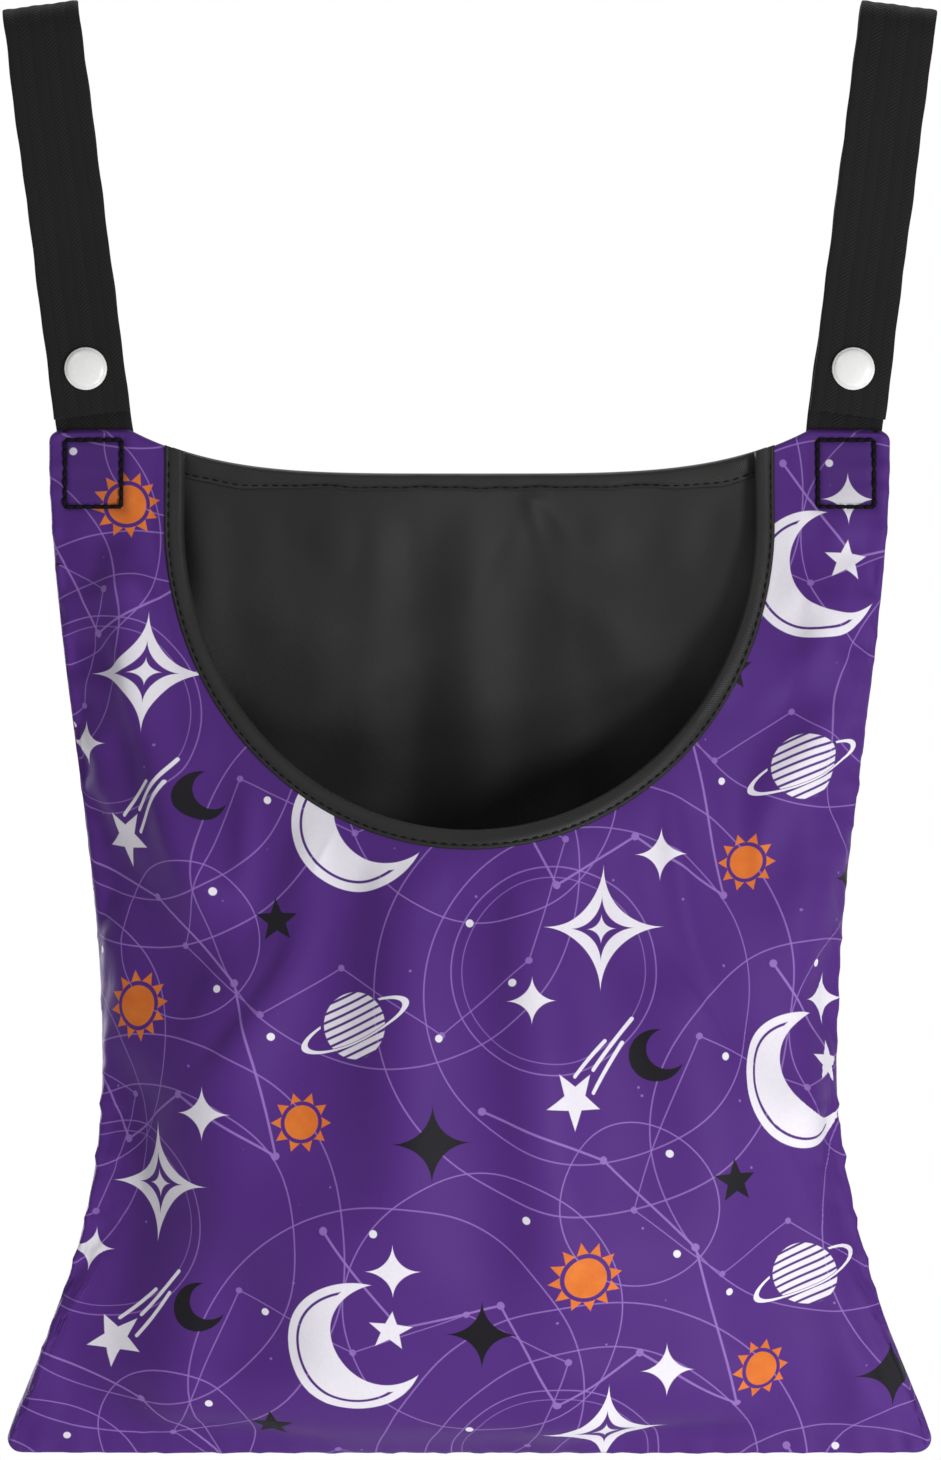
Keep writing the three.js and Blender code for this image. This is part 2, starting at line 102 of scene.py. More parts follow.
def in_row(points):
    """Millimetres from the middle of the bag's top edge, turned into metres in the row frame."""
    return (np.asarray(points, float) + (0.0, LAYER, -RAIL_HEIGHT)) / 1000


def unit(arrows, least=0.0):
    """Arrows made one long; least is for where one may have no length."""
    return arrows / (np.linalg.norm(arrows, axis=-1, keepdims=True) + least)


def eased(share):
    share = np.clip(share, 0, 1)
    return share * share * (3 - 2 * share)


def fall(share):
    return (1 + np.cos(np.pi * np.clip(share, 0, 1))) / 2


def bent(first, corner, last, share):
    return (1 - share) ** 2 * first + 2 * share * (1 - share) * corner + share ** 2 * last


def seam_half_width(down):
    upper = WAIST_HALF + (TOP_HALF - WAIST_HALF) * fall(down / WAIST_DOWN)
    share = np.clip((down - WAIST_DOWN) / (BAG_HEIGHT - WAIST_DOWN), 0, 1)
    lower = WAIST_HALF + (BOTTOM_HALF - WAIST_HALF) * (1 - (1 - share ** FLARE_START) ** FLARE_END)
    return np.where(down < WAIST_DOWN, upper, lower)


def corner_cut(distance, radius):
    inside = np.clip(radius - distance, 0, radius)
    return radius - np.sqrt(radius ** 2 - inside ** 2)


def edge_half_width(down):
    corners = corner_cut(down, TOP_CORNER) + corner_cut(BAG_HEIGHT - down, BOTTOM_CORNER)
    return seam_half_width(down) - corners


def top_sag(x):
    return TOP_SAG * (1 - np.minimum(np.abs(x) / SAG_HALF, 1) ** 4)


def down_at(x, z):
    """How far down the cloth a spot lies, from its height."""
    return (-z - top_sag(x)) / (1 - top_sag(x) / BAG_HEIGHT)


def fold_ease(x, down):
    """Folds die out towards the seams and round the sewn strap ends."""
    from_seam = np.minimum(seam_half_width(down) - np.abs(x), BAG_HEIGHT - down)
    return (1 - fall(from_seam / FOLD_EASE)) * (1 - fall((down - STRAP_DOWN) / STRAP_DOWN))


class Panel:
    """The inner face of a panel on its side, -1 for the front. A main fold, as the solids have it, runs
    between two places, as shares of the half width and of the height, and has a half width and a rise.
    A ripple is (from x, z, to x, z, half width, height); its room is (start, run) from the free edge."""

    def __init__(self, side, bulge, folds, ripple_list, ripple_room):
        self.side = side
        self.bulge = bulge
        self.folds = folds
        self.ripple_list = ripple_list
        self.ripple_room = ripple_room

    def smooth(self, x, down):
        """Points of the face without its folds, from how far across and how far down the cloth they lie."""
        x = np.asarray(x, float)
        inside = np.clip(down, 0, BAG_HEIGHT)
        gap = SEAM_GAP + STRAP_GAP * fall((inside - STRAP_DOWN) / STRAP_DOWN)
        across = np.clip(1 - (x / seam_half_width(inside)) ** 2, 0, None) ** SWELL_ACROSS
        swell = across * np.sin(np.pi * (inside / BAG_HEIGHT) ** SWELL_DOWN)
        z = -down - top_sag(x) * (1 - inside / BAG_HEIGHT)
        return np.stack([x, self.side * (gap + self.bulge * swell), z], axis=-1)

    def out(self, face, x, down):
        """The outward direction on the smooth or the hung face."""
        step = 0.4
        across = face(x + step, down) - face(x - step, down)
        below = face(x, down + step) - face(x, down - step)
        normal = unit(np.cross(across, below))
        return normal * self.side * np.sign(normal[..., 1:2] + 1e-9)

    def hung(self, x, down):
        """Points of the face with its main folds."""
        total = np.zeros_like(x)
        for begin, end, wide, rise in self.folds:
            start_x = begin[0] * seam_half_width(begin[1] * BAG_HEIGHT)
            start_down = begin[1] * BAG_HEIGHT
            run_x = end[0] * seam_half_width(end[1] * BAG_HEIGHT) - start_x
            run_down = end[1] * BAG_HEIGHT - start_down
            share = (x - start_x) * run_x + (down - start_down) * run_down
            share = np.clip(share / (run_x ** 2 + run_down ** 2), 0, 1)
            away = np.hypot(x - start_x - share * run_x, down - start_down - share * run_down)
            total += rise * np.exp(-(away / wide) ** 2)
        rise = total * fold_ease(x, down)
        return self.smooth(x, down) + self.out(self.smooth, x, down) * rise[..., None]


def grid_normals(grid, side):
    normal = unit(np.cross(np.gradient(grid, axis=0), np.gradient(grid, axis=1)), 1e-12)
    return normal * np.sign(normal[..., 1].mean() * side)


def run_of(line):
    steps = np.linalg.norm(np.diff(line, axis=0), axis=1)
    return np.concatenate([[0], np.cumsum(steps)])


def pick(line, run, at):
    return np.stack([np.interp(at, run, line[:, i]) for i in range(line.shape[1])], axis=-1)


def seam_line():
    """The seam as (across, down), from the top left corner round the bottom to the top right one."""
    turn = 1 - np.cos(np.linspace(0, np.pi / 2, 9))
    straight = np.linspace(TOP_CORNER, BAG_HEIGHT - BOTTOM_CORNER, 160)[1:-1]
    rows = np.concatenate([TOP_CORNER * turn, straight, BAG_HEIGHT - BOTTOM_CORNER * turn[::-1]])
    left = np.stack([-edge_half_width(rows), rows], axis=1)
    foot = np.linspace(left[-1, 0], -left[-1, 0], 150)[1:-1]
    bottom = np.stack([foot, np.full_like(foot, BAG_HEIGHT)], axis=1)
    return np.concatenate([left, bottom, left[::-1] * (-1, 1)])


def mouth_line(grown, start):
    """The mouth's edge as (across, down), grown outwards; start is how far down its two ends are."""
    half = MOUTH_HALF + grown
    leg = np.linspace(start, down_at(half, -MOUTH_STRAIGHT), 40)
    angle = np.linspace(0, np.pi, 260)[1:-1]
    x = -half * np.cos(angle)
    z = -MOUTH_STRAIGHT - (MOUTH_DROP + grown) * np.sin(angle)
    across = np.concatenate([np.full_like(leg, -half), x, np.full_like(leg, half)])
    return np.stack([across, np.concatenate([leg, down_at(x, z), leg[::-1]])], axis=1)


def front_cut(columns, rows):
    """Columns fan out from the mouth to the seam. Gives (across, down) for each, and the seam's points."""
    mouth_stops = (0.44, 0.72)
    seam_stops = (33.0, 140.0, 338.0)
    corner = seam_stops[-1]
    seam = seam_line()
    ahead = unit(np.gradient(seam, axis=0))
    inset = seam + SEAM_ROLL * np.stack([ahead[:, 1], -ahead[:, 0]], axis=1)
    seam_run = run_of(seam)
    mouth = mouth_line(CUT_BACK, SEAM_ROLL)
    mouth_run = run_of(mouth)
    round_mouth = mouth_run[-1]
    round_seam = seam_run[-1]
    leg = np.interp(MOUTH_STRAIGHT, mouth[:150, 1], mouth_run[:150])
    bend = round_mouth / 2 - leg
    half_mouth = np.array([0, leg, *(leg + stop * bend for stop in mouth_stops), round_mouth / 2])
    half_seam = np.array([0, *seam_stops, round_seam / 2])
    fine = np.linspace(0, 8, 3201)
    soften = np.hanning(301)
    soften /= soften.sum()
    fanned = []
    for half, whole in ((half_mouth, round_mouth), (half_seam, round_seam)):
        along = np.interp(fine, np.arange(9), np.concatenate([half, whole - half[-2::-1]]))
        along[150:-150] = np.convolve(along, soften, mode="valid")
        fanned.append(along)
    along_mouth, along_seam = fanned
    turns = (2.0, corner, round_seam - corner, round_seam - 2.0)
    crowd = sum(np.tanh((along_seam - turn) / 10.0) for turn in turns)
    count = along_mouth / round_mouth + along_seam / round_seam + 0.05 * crowd
    at = np.interp(np.linspace(count[0], count[-1], columns + 1), count, fine)
    near = pick(mouth, mouth_run, np.interp(at, fine, along_mouth))
    at_seam = np.interp(at, fine, along_seam)
    far = pick(inset, seam_run, at_seam)
    far[[0, -1], 1] = SEAM_ROLL
    share = np.linspace(0, 1, rows + 1)
    share = 0.75 * share + 0.25 * (1 - fall(share))
    grid = near[:, None] + (far - near)[:, None] * share[None, :, None]
    return grid[..., 0], grid[..., 1], pick(seam, seam_run, at_seam)


def new_piece(name, points, faces):
    mesh = bpy.data.meshes.new(name)
    mesh.from_pydata(points.reshape(-1, 3).tolist(), [], faces)
    piece = bpy.data.objects.new(name, mesh)
    bpy.context.scene.collection.objects.link(piece)
    return piece


def quads(number):
    """Faces of a grid, from the numbers of its points."""
    corners = [number[:-1, :-1], number[1:, :-1], number[1:, 1:], number[:-1, 1:]]
    return np.stack(corners, axis=-1).reshape(-1, 4)


def settled(name, grid, slack, weight):
    """Lets a coarse sheet of cloth hang from its sewn edges and gives how far each point has moved.
    It is simulated at ten times its size, where the solver is steady."""
    frames = 26
    scale = 100
    number = np.arange(grid[..., 0].size).reshape(grid.shape[:2])
    trial = new_piece(name + "_trial", grid / scale, quads(number).tolist())
    edge = np.ones(number.shape, bool)
    edge[1:-1, 1:-1] = False
    sewn = trial.vertex_groups.new(name="sewn")
    sewn.add(number[edge].tolist(), 1.0, "REPLACE")
    cloth = trial.modifiers.new("hang", "CLOTH")
    settings = cloth.settings
    settings.vertex_group_mass = "sewn"
    settings.quality = 6
    settings.mass = 0.3
    settings.air_damping = 4.0
    settings.tension_stiffness = 20
    settings.compression_stiffness = 20
    settings.shear_stiffness = 8
    settings.bending_stiffness = 1.2
    settings.shrink_min = -slack
    settings.shrink_max = -slack
    settings.effector_weights.gravity = weight
    cloth.collision_settings.use_collision = False
    cloth.point_cache.frame_start = 1
    cloth.point_cache.frame_end = frames
    for moment in range(1, frames + 1):
        bpy.context.scene.frame_set(moment)
    hung = trial.evaluated_get(bpy.context.evaluated_depsgraph_get())
    found = np.zeros(grid.size, np.float32)
    hung.data.vertices.foreach_get("co", found)
    mesh = trial.data
    bpy.data.objects.remove(trial)
    bpy.data.meshes.remove(mesh)
    bpy.context.scene.frame_set(1)
    return found.reshape(grid.shape).astype(float) * scale - grid


def smoothed(field, times):
    field = field.copy()
    for _ in range(times):
        field[1:-1] = (field[:-2] + 2 * field[1:-1] + field[2:]) / 4
        field[:, 1:-1] = (field[:, :-2] + 2 * field[:, 1:-1] + field[:, 2:]) / 4
    return field


def finer(field, count):
    """A field spread over more rows."""
    at = np.linspace(0, len(field) - 1, count)
    low = np.minimum(at.astype(int), len(field) - 2)
    part = (at - low)[:, None]
    return field[low] * (1 - part) + field[low + 1] * part


def fine_folds(name, panel, spots, slack, weight, shape):
    """The folds of a sheet that has settled in a panel, without its wide sway, on a finer grid."""
    coarse = panel.hung(*spots)
    moved = (settled(name, coarse, slack, weight) * grid_normals(coarse, panel.side)).sum(axis=2)
    folds = FOLD_LIMIT * np.tanh((moved - smoothed(moved, SWAY_ROUNDS)) / FOLD_LIMIT)
    return smoothed(finer(finer(folds, shape[0]).T, shape[1]).T, EVEN_ROUNDS)


def seam_puckers(x, down):
    """Small gathers that the sewing thread pulls into the cloth beside the side and bottom seams."""
    from_side = seam_half_width(down) - np.abs(x)
    away = np.minimum(from_side, BAG_HEIGHT - down)
    along = np.where(from_side < BAG_HEIGHT - down, down, x + 400)
    ripple = np.sin(along * 0.61 + 1.3 * np.sin(along * 0.083)) + 0.7 * np.sin(along * 0.37 + 2.0)
    ripple += 0.5 * np.sin(along * 1.03 + 0.9 * np.sin(along * 0.11 + 1.0))
    return 0.42 * np.clip(ripple + 0.9, 0, None) * np.exp(-np.abs(away) / 9.0)


def strap_pulls(x, down):
    """Soft folds that run down from the sewn strap ends, where the bag's weight hangs."""
    spread = 1 + np.clip(down - 20, 0, None) / 45.0
    aside = (np.abs(x) - STRAP_SIDE) / spread
    ridge = np.cos(aside * 0.42 + 0.6 * np.sign(x)) * np.exp(-(aside / 13.0) ** 2)
    return 0.9 * ridge * eased((down - 18) / 18) * np.exp(-np.clip(down - 30, 0, None) / 55.0)


def ripples(x, z, ripple_list):
    """Narrower folds in the hung cloth."""
    total = np.zeros_like(x)
    for from_x, from_z, to_x, to_z, wide, height in ripple_list:
        reach_x = to_x - from_x
        reach_z = to_z - from_z
        size = math.hypot(reach_x, reach_z)
        along = ((x - from_x) * reach_x + (z - from_z) * reach_z) / size
        aside = ((x - from_x) * reach_z - (z - from_z) * reach_x) / size
        aside = aside + 3.0 * np.sin(along * 0.035 + from_x)
        fade = eased(along / 40 + 0.5) * eased((size - along) / 40 + 0.5)
        total += height * fade * np.exp(-(aside / wide) ** 2)
    return total


def box_ditch(x, z):
    """The dent that the square of stitching over each strap end presses into the cloth."""
    side = np.abs(np.abs(x) - STRAP_SIDE)
    height = np.abs(z - (BOX_TOP + BOX_BOTTOM) / 2)
    beyond = np.maximum(side - BOX_HALF, height - (BOX_TOP - BOX_BOTTOM) / 2)
    return DITCH_DEEP * np.exp(-(beyond / DITCH_WIDE) ** 2)


def hung_surface(panel, x, down, base, from_edge, offset):
    """Points of a hung panel, offset millimetres outwards from its inner face, with all its finer folds.
    These die out towards its free edge and round the sewn strap ends."""
    by_strap = eased((np.abs(np.abs(x) - STRAP_SIDE) - 10) / 12) + eased((down - 24) / 22)
    by_strap = np.clip(by_strap, 0, 1)
    start, run = panel.ripple_room
    near = eased((from_edge - start) / run) * by_strap
    free = eased((from_edge - 7) / 16) * by_strap
    shaped = (seam_puckers(x, down) + strap_pulls(x, down)) * eased((from_edge - 6) / 8)
    shaped -= box_ditch(base[..., 0], base[..., 2])
    shaped += ripples(base[..., 0], base[..., 2], panel.ripple_list) * near
    shaped += panel.moved * free
    return base + grid_normals(base, panel.side) * (offset + shaped)[..., None]


def rolled(edge, before, target, steps=ROLL_ROWS):
    """Rows that carry a cloth edge smoothly on round into its seam."""
    lean = edge + unit(edge - before) * ROLL_LEAN * np.linalg.norm(target - edge, axis=-1, keepdims=True)
    return bent(edge, lean, target, np.arange(1, steps + 1)[:, None, None] / steps)


def turned_in(edge, side, way):
    """Where an edge ends that is turned in by the seam plane, and carried up or down by the seam's roll."""
    end = edge.copy()
    end[:, 1] = side * np.clip(np.abs(end[:, 1]) - HEM_DEEP, SEAM_OUT, HEM_MOST)
    end[:, 2] += way * SEAM_ROLL * eased((np.abs(end[:, 0]).max() - np.abs(end[:, 0])) / TOP_CORNER)
    return end


def cloth_piece(name, middle, thick, flat, side):
    """A closed sheet of cloth, thick millimetres through, with its flat cut as its UV map."""
    normal = grid_normals(middle, side)
    rows, columns = middle.shape[:2]
    points = np.concatenate([middle + normal * thick / 2, middle - normal * thick / 2])
    number = np.arange(2 * rows * columns).reshape(2, rows, columns)
    ahead = np.cross(middle[1, 0] - middle[0, 0], middle[0, 1] - middle[0, 0])
    outer, inner = number if ahead @ normal[0, 0] > 0 else number[::-1]
    rims = []
    for sheet in (outer, inner):
        rims.append(np.concatenate([sheet[0], sheet[1:, -1], sheet[-1, -2::-1], sheet[-2:0:-1, 0]]))
    upper, lower = rims
    rim = np.stack([upper, np.roll(upper, -1), np.roll(lower, -1), lower], axis=-1)
    faces = np.concatenate([quads(outer), quads(inner)[:, ::-1], rim])
    piece = new_piece(name, in_row(points), faces.tolist())
    layer = piece.data.uv_layers.new(name="flat_cut")
    spots = np.concatenate([flat, flat]).reshape(-1, 2) / 1000
    layer.data.foreach_set("uv", spots[faces.ravel()].ravel())
    # Marks where the sewn strap ends lie behind the cloth; the print finish colours the cloth darker there.
    backed = piece.data.attributes.new("over_strap", "FLOAT", "POINT")
    beside = np.abs(np.abs(points[..., 0]) - STRAP_SIDE)
    share = eased((DARKER_OVER_STRAP_HALF - beside) / DARKER_OVER_STRAP_FADE)
    share *= eased((points[..., 2] + DARKER_OVER_STRAP_DOWN) / DARKER_OVER_STRAP_FADE)
    backed.data.foreach_set("value", share.ravel().astype(np.float32))
    piece.data.shade_smooth()
    return piece


def flat_cut(panel, x, down):
    """Where points of the hung panel lie on its flat cut, from the lengths along its curves."""
    over_steps = 80
    down_steps = 160
    rows = np.linspace(0, BAG_HEIGHT, down_steps + 1)
    spread = np.linspace(0, 1, over_steps + 1)[:, None] * seam_half_width(rows)
    cloth = panel.smooth(spread, np.broadcast_to(rows, spread.shape))
    over = np.linalg.norm(np.diff(cloth, axis=0), axis=2).cumsum(axis=0)
    over = np.concatenate([np.zeros((1, down_steps + 1)), over])
    below = run_of(np.stack([cloth[0, :, 1], rows], axis=1))
    inside = np.clip(down, 0, BAG_HEIGHT)
    across = np.clip(np.abs(x) / seam_half_width(inside) * over_steps, 0, over_steps - 0.001)
    depth = np.clip(inside / BAG_HEIGHT * down_steps, 0, down_steps - 0.001)
    i = across.astype(int)
    j = depth.astype(int)
    a = across - i
    b = depth - j
    low = over[i, j] * (1 - a) + over[i + 1, j] * a
    high = over[i, j + 1] * (1 - a) + over[i + 1, j + 1] * a
    flat_x = np.sign(x) * (low * (1 - b) + high * b)
    flat_y = -np.interp(inside, rows, below) - top_sag(x) * (1 - inside / BAG_HEIGHT)
    return np.stack([flat_x, flat_y], axis=-1)


def spread_on(flat, cloth, before, after, axis):
    """The flat cut carried on over rows that were added before and after it."""
    flat = np.moveaxis(flat, axis, 0)
    steps = np.linalg.norm(np.diff(np.moveaxis(cloth, axis, 0), axis=0), axis=2)[..., None]
    head = flat[0] + unit(flat[0] - flat[2], 1e-9) * steps[:before][::-1].cumsum(axis=0)[::-1]
    foot = flat[-1] + unit(flat[-1] - flat[-3], 1e-9) * steps[len(steps) - after:].cumsum(axis=0)
    return np.moveaxis(np.concatenate([head, flat, foot]), 0, axis)


class Drawn:
    """A number that shader nodes work out at each spot of a surface."""

    tree = None

    def __init__(self, socket):
        self.socket = socket

    def __add__(self, other):
        return drawn("ADD", self, other)

    def __sub__(self, other):
        return drawn("SUBTRACT", self, other)

    def __rsub__(self, other):
        return drawn("SUBTRACT", other, self)

    def __mul__(self, other):
        return drawn("MULTIPLY", self, other)

    def __truediv__(self, other):
        return drawn("DIVIDE", self, other)

    __radd__ = __add__
    __rmul__ = __mul__


def shader(kind):
    return Drawn.tree.nodes.new("ShaderNode" + kind)


def wire(out, slot):
    Drawn.tree.links.new(out, slot)


def drawn(operation, *terms, clamp=False):
    node = shader("Math")
    node.operation = operation
    node.use_clamp = clamp
    for slot, term in zip(node.inputs, terms):
        if isinstance(term, Drawn):
            wire(term.socket, slot)
        else:
            slot.default_value = term
    return Drawn(node.outputs[0])


def span(x, y):
    return drawn("SQRT", drawn("MULTIPLY_ADD", x, x, y * y))


def turned(x, y, degrees):
    cosine = math.cos(math.radians(degrees))
    sine = math.sin(math.radians(degrees))
    return drawn("MULTIPLY_ADD", x, cosine, y * sine), drawn("MULTIPLY_ADD", y, cosine, x * -sine)


def either(*shapes):
    first = shapes[0]
    for shape in shapes[1:]:
        first = drawn("MINIMUM", first, shape)
    return first


def within(first, second):
    return drawn("MAXIMUM", first, second)


def without(shape, hole):
    return within(shape, hole * -1.0)


def disc(x, y, radius):
    return span(x, y) - radius


def hoop(x, y, radius, line):
    return drawn("ABSOLUTE", span(x, y) - radius) - line / 2


def crescent(x, y, radius, aside, above, bite):
    return within(disc(x, y, radius), bite - span(x - aside, y - above))


def star(x, y, points, tip, notch, degrees):
    """A star with straight sides, from its number of points and its outer and inner radius."""
    half = math.pi / points
    angle = drawn("ARCTAN2", y, x) + math.radians(-degrees) + 20 * half
    folded = drawn("PINGPONG", angle, half)
    far = span(x, y)
    along = far * drawn("COSINE", folded)
    aside = far * drawn("SINE", folded)
    edge_x = notch * math.cos(half) - tip
    edge_y = notch * math.sin(half)
    size = math.hypot(edge_x, edge_y)
    return drawn("MULTIPLY_ADD", along - tip, edge_y / size, aside * (-edge_x / size))


def twinkle(x, y, size):
    """A four-pointed star with hollow sides."""
    over = drawn("POWER", drawn("ABSOLUTE", x / size), 0.56)
    up = drawn("POWER", drawn("ABSOLUTE", y / size), 0.56)
    return (over + up - 1) * (0.7 * size)


def sun(x, y, rays, tip, notch, degrees, middle, gap):
    """A disc with a ring of pointed rays round it."""
    return either(disc(x, y, middle), within(star(x, y, rays, tip, notch, degrees), gap - span(x, y)))


def stroke(x, y, start, end, line):
    """A straight line between two spots."""
    reach_x = end[0] - start[0]
    reach_y = end[1] - start[1]
    size = reach_x ** 2 + reach_y ** 2
    x = x - start[0]
    y = y - start[1]
    share = drawn("MULTIPLY_ADD", x, reach_x / size, y * (reach_y / size))
    share = drawn("MINIMUM", drawn("MAXIMUM", share, 0.0), 1.0)
    return span(x - share * reach_x, y - share * reach_y) - line / 2


def star_chart(x, y, places, line, dot):
    """Dots at the places, each joined to the next by a thin line."""
    shapes = [stroke(x, y, start, end, line) for start, end in zip(places[:-1], places[1:])]
    shapes += [disc(x - place[0], y - place[1], dot) for place in dict.fromkeys(places)]
    return either(*shapes)


def inked(shape, soft=0.14):
    """How much ink lies at a spot: all of it inside the shape, with a slightly soft edge."""
    return drawn("MULTIPLY_ADD", shape, -0.5 / soft, 0.5, clamp=True)


def repeat(x, y, aside, above):
    """The place in a half-drop repeat: every second column is shifted down by half a repeat."""
    wide = 150
    high = 170
    x = x - aside
    y = y - above
    column = drawn("FLOOR", x / wide + 0.5)
    y = y + drawn("FLOORED_MODULO", column, 2.0) * (high / 2)
    row = drawn("FLOOR", y / high + 0.5)
    return x - column * wide, y - row * high


def new_finish(name):
    finish = bpy.data.materials.new(name)
    finish.use_nodes = True
    Drawn.tree = finish.node_tree
    return finish


def on_map(map_name):
    """Millimetres along the two ways of a UV map, and the spot itself for textures."""
    spot = shader("UVMap")
    spot.uv_map = map_name
    parts = shader("SeparateXYZ")
    wire(spot.outputs[0], parts.inputs[0])
    return Drawn(parts.outputs[0]) * 1000, Drawn(parts.outputs[1]) * 1000, spot.outputs[0]


def mottle(spot, size, detail=3.0):
    """Uneven cloudiness about size millimetres across, from 0 to 1."""
    node = shader("TexNoise")
    node.inputs["Scale"].default_value = 1000 / size
    node.inputs["Detail"].default_value = detail
    wire(spot, node.inputs["Vector"])
    return Drawn(node.outputs[0])


def plain_weave(x, y, pitch):
    over = drawn("SINE", x * (2 * math.pi / pitch))
    under = drawn("SINE", y * (2 * math.pi / pitch))
    return over * under * 0.5 + 0.5


def laid_over(under, colour, share):
    node = shader("Mix")
    node.data_type = "RGBA"
    for slot, value in ((node.inputs[6], under), (node.inputs[7], colour)):
        if isinstance(value, tuple):
            slot.default_value = (*value, 1)
        else:
            wire(value, slot)
    wire(share.socket, node.inputs[0])
    return node.outputs[2]


def finished(finish, ground, roughness, bump, plain):
    """Gives a finish its colour, its roughness, a bump of (height from 0 to 1, metres deep, strength),
    and the settings that are plain all over."""
    surface = finish.node_tree.nodes["Principled BSDF"]
    wire(ground, surface.inputs["Base Color"])
    if roughness is not None:
        wire(roughness.socket, surface.inputs["Roughness"])
    for setting, value in plain.items():
        surface.inputs[setting].default_value = value
    height, depth, strength = bump
    node = shader("Bump")
    node.inputs["Strength"].default_value = strength
    node.inputs["Distance"].default_value = depth
    wire(height.socket, node.inputs["Height"])
    wire(node.outputs[0], surface.inputs["Normal"])
    return finish


def printed_cloth():
    """Night-sky print: moons, stars, suns and planets over thin orbit lines."""
    finish = new_finish("printed_cloth")
    x, y, spot = on_map("flat_cut")
    ground = laid_over((0.060, 0.0150, 0.158), (0.084, 0.0255, 0.202), mottle(spot, 60, 4))
    lilac = (0.270, 0.150, 0.460)
    a, b = repeat(x, y, 40, -20)
    lines = either(hoop(a, b, 71, 0.5), hoop(a, b, 55, 0.45))
    lines = either(lines, hoop(a + 12, b - 8, 34, 0.45), hoop(a + 12, b - 8, 30.5, 0.3))
    ground = laid_over(ground, lilac, inked(lines) * 0.8)
    a, b = repeat(x, y, -35, 25)
    ring_of_stars = [(-62, -30), (-34, -52), (-8, -36), (26, -58), (54, -34), (66, 6)]
    ring_of_stars += [(34, 22), (-2, 8), (-40, 26), (-62, -30)]
    lines = either(hoop(a - 8, b + 6, 63, 0.45), star_chart(a, b, ring_of_stars, 0.4, 1.1))
    ground = laid_over(ground, lilac, inked(lines) * 0.8)
    a, b = repeat(x, y, 24, 62)
    chain = [(-70, 12), (-46, -20), (-14, -12), (4, -46), (30, -30), (62, -50), (48, 6), (20, 34), (-20, 50)]
    lines = either(hoop(a + 20, b + 14, 44, 0.4), hoop(a - 30, b - 20, 26, 0.4))
    lines = either(lines, star_chart(a, b, chain, 0.75, 1.3))
    ground = laid_over(ground, lilac, inked(lines) * 0.9)
    dust_apart = 11
    dust = shader("TexVoronoi")
    dust.inputs["Scale"].default_value = 1000 / dust_apart
    wire(spot, dust.inputs["Vector"])
    grains = Drawn(dust.outputs["Distance"]) * dust_apart - 0.45
    ground = laid_over(ground, lilac, inked(grains) * 0.8)
    a, b = repeat(x, y, 0, 0)
    black = either(twinkle(a - 4, b - 40, 12), twinkle(a + 12, b + 68, 13))
    black = either(black, crescent(a - 62, b + 40, 8.5, 3.6, 2.2, 6.6), star(a + 64, b - 4, 5, 7.5, 3.2, 20))
    ground = laid_over(ground, (0.004, 0.0036, 0.0045), inked(black) * 0.99)
    suns = sun(a - 36, b - 60, 12, 11.6, 7.8, 8, 6.6, 8.0)
    suns = either(suns, sun(a + 56, b + 62, 10, 10, 6.6, 0, 5.6, 6.9))
    amber = laid_over((0.560, 0.115, 0.010), (0.760, 0.215, 0.030), mottle(spot, 7, 2))
    ground = laid_over(ground, amber, inked(suns) * 0.97)
    trim = within(hoop(a + 36, b - 36, 18.8, 0.9), 19.8 - span(a + 26.5, b - 40.5))
    moon = without(crescent(a + 36, b - 36, 22, 9.5, 4.5, 17.5), trim)
    white = either(moon, star(a + 25, b - 41, 5, 7.2, 3.1, 12))
    bright = without(twinkle(a - 44, b - 2, 21), twinkle(a - 44, b - 2, 11))
    white = either(white, bright, twinkle(a - 44, b - 2, 5))
    white = either(white, twinkle(a - 63, b - 26, 9), twinkle(a - 20, b + 22, 8), twinkle(a + 24, b - 62, 9))
    p, q = turned(a + 38, b + 30, 24)
    bands = drawn("ABSOLUTE", drawn("PINGPONG", q + 40.6, 2.6) - 1.3) - 0.42
    globe = without(disc(p, q, 11), bands)
    ring = drawn("ABSOLUTE", span(p, q * 3.6) - 19) - 1.1
    before = within(ring, q - 0.6)
    behind = within(ring, 12.2 - span(p, q))
    white = either(white, within(globe, 0.6 - before), before, behind)
    p, q = turned(a - 34, b + 54, -38)
    white = either(white, star(p, q, 5, 10, 4.2, 90))
    for aside, begin, end in ((-4.5, 6, 22), (0, 12, 33), (4.5, 6, 25)):
        white = either(white, stroke(p, q, (aside, begin), (aside * 0.55, end), 1.3))
    dots = [(0, 4), (-66, 44), (18, 78), (66, -72), (-10, -34), (66, 66), (-30, 74), (14, -16), (-66, -34)]
    for dot_x, dot_y in dots:
        white = either(white, disc(a - dot_x, b - dot_y, 1.25))
    worn = mottle(spot, 1.4, 2) * 0.10 + 0.89
    ground = laid_over(ground, (0.790, 0.760, 0.820), inked(white) * worn)
    # The cloth is coloured darker over the sewn strap ends.
    strap = shader("Attribute")
    strap.attribute_name = "over_strap"
    ground = laid_over(ground, (0.012, 0.006, 0.034), Drawn(strap.outputs["Fac"]) * 0.24)
    roughness = mottle(spot, 24, 3) * 0.12 + 0.52
    weave = plain_weave(x, y, 0.62) * 0.7 + mottle(spot, 3.0, 3) * 0.3
    plain = {"Specular IOR Level": 0.14, "Sheen Weight": 0.03, "Sheen Roughness": 0.45}
    return finished(finish, ground, roughness, (weave, 0.00012, 0.5), plain)


def fixed(piece, finish, body, slot, *nodes):
    """Gives a piece its finish, its body and the nodes that it stands for. The slot is not used."""
    piece.data.materials.append(finish)
    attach(piece, body)
    for node in nodes:
        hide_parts(node)


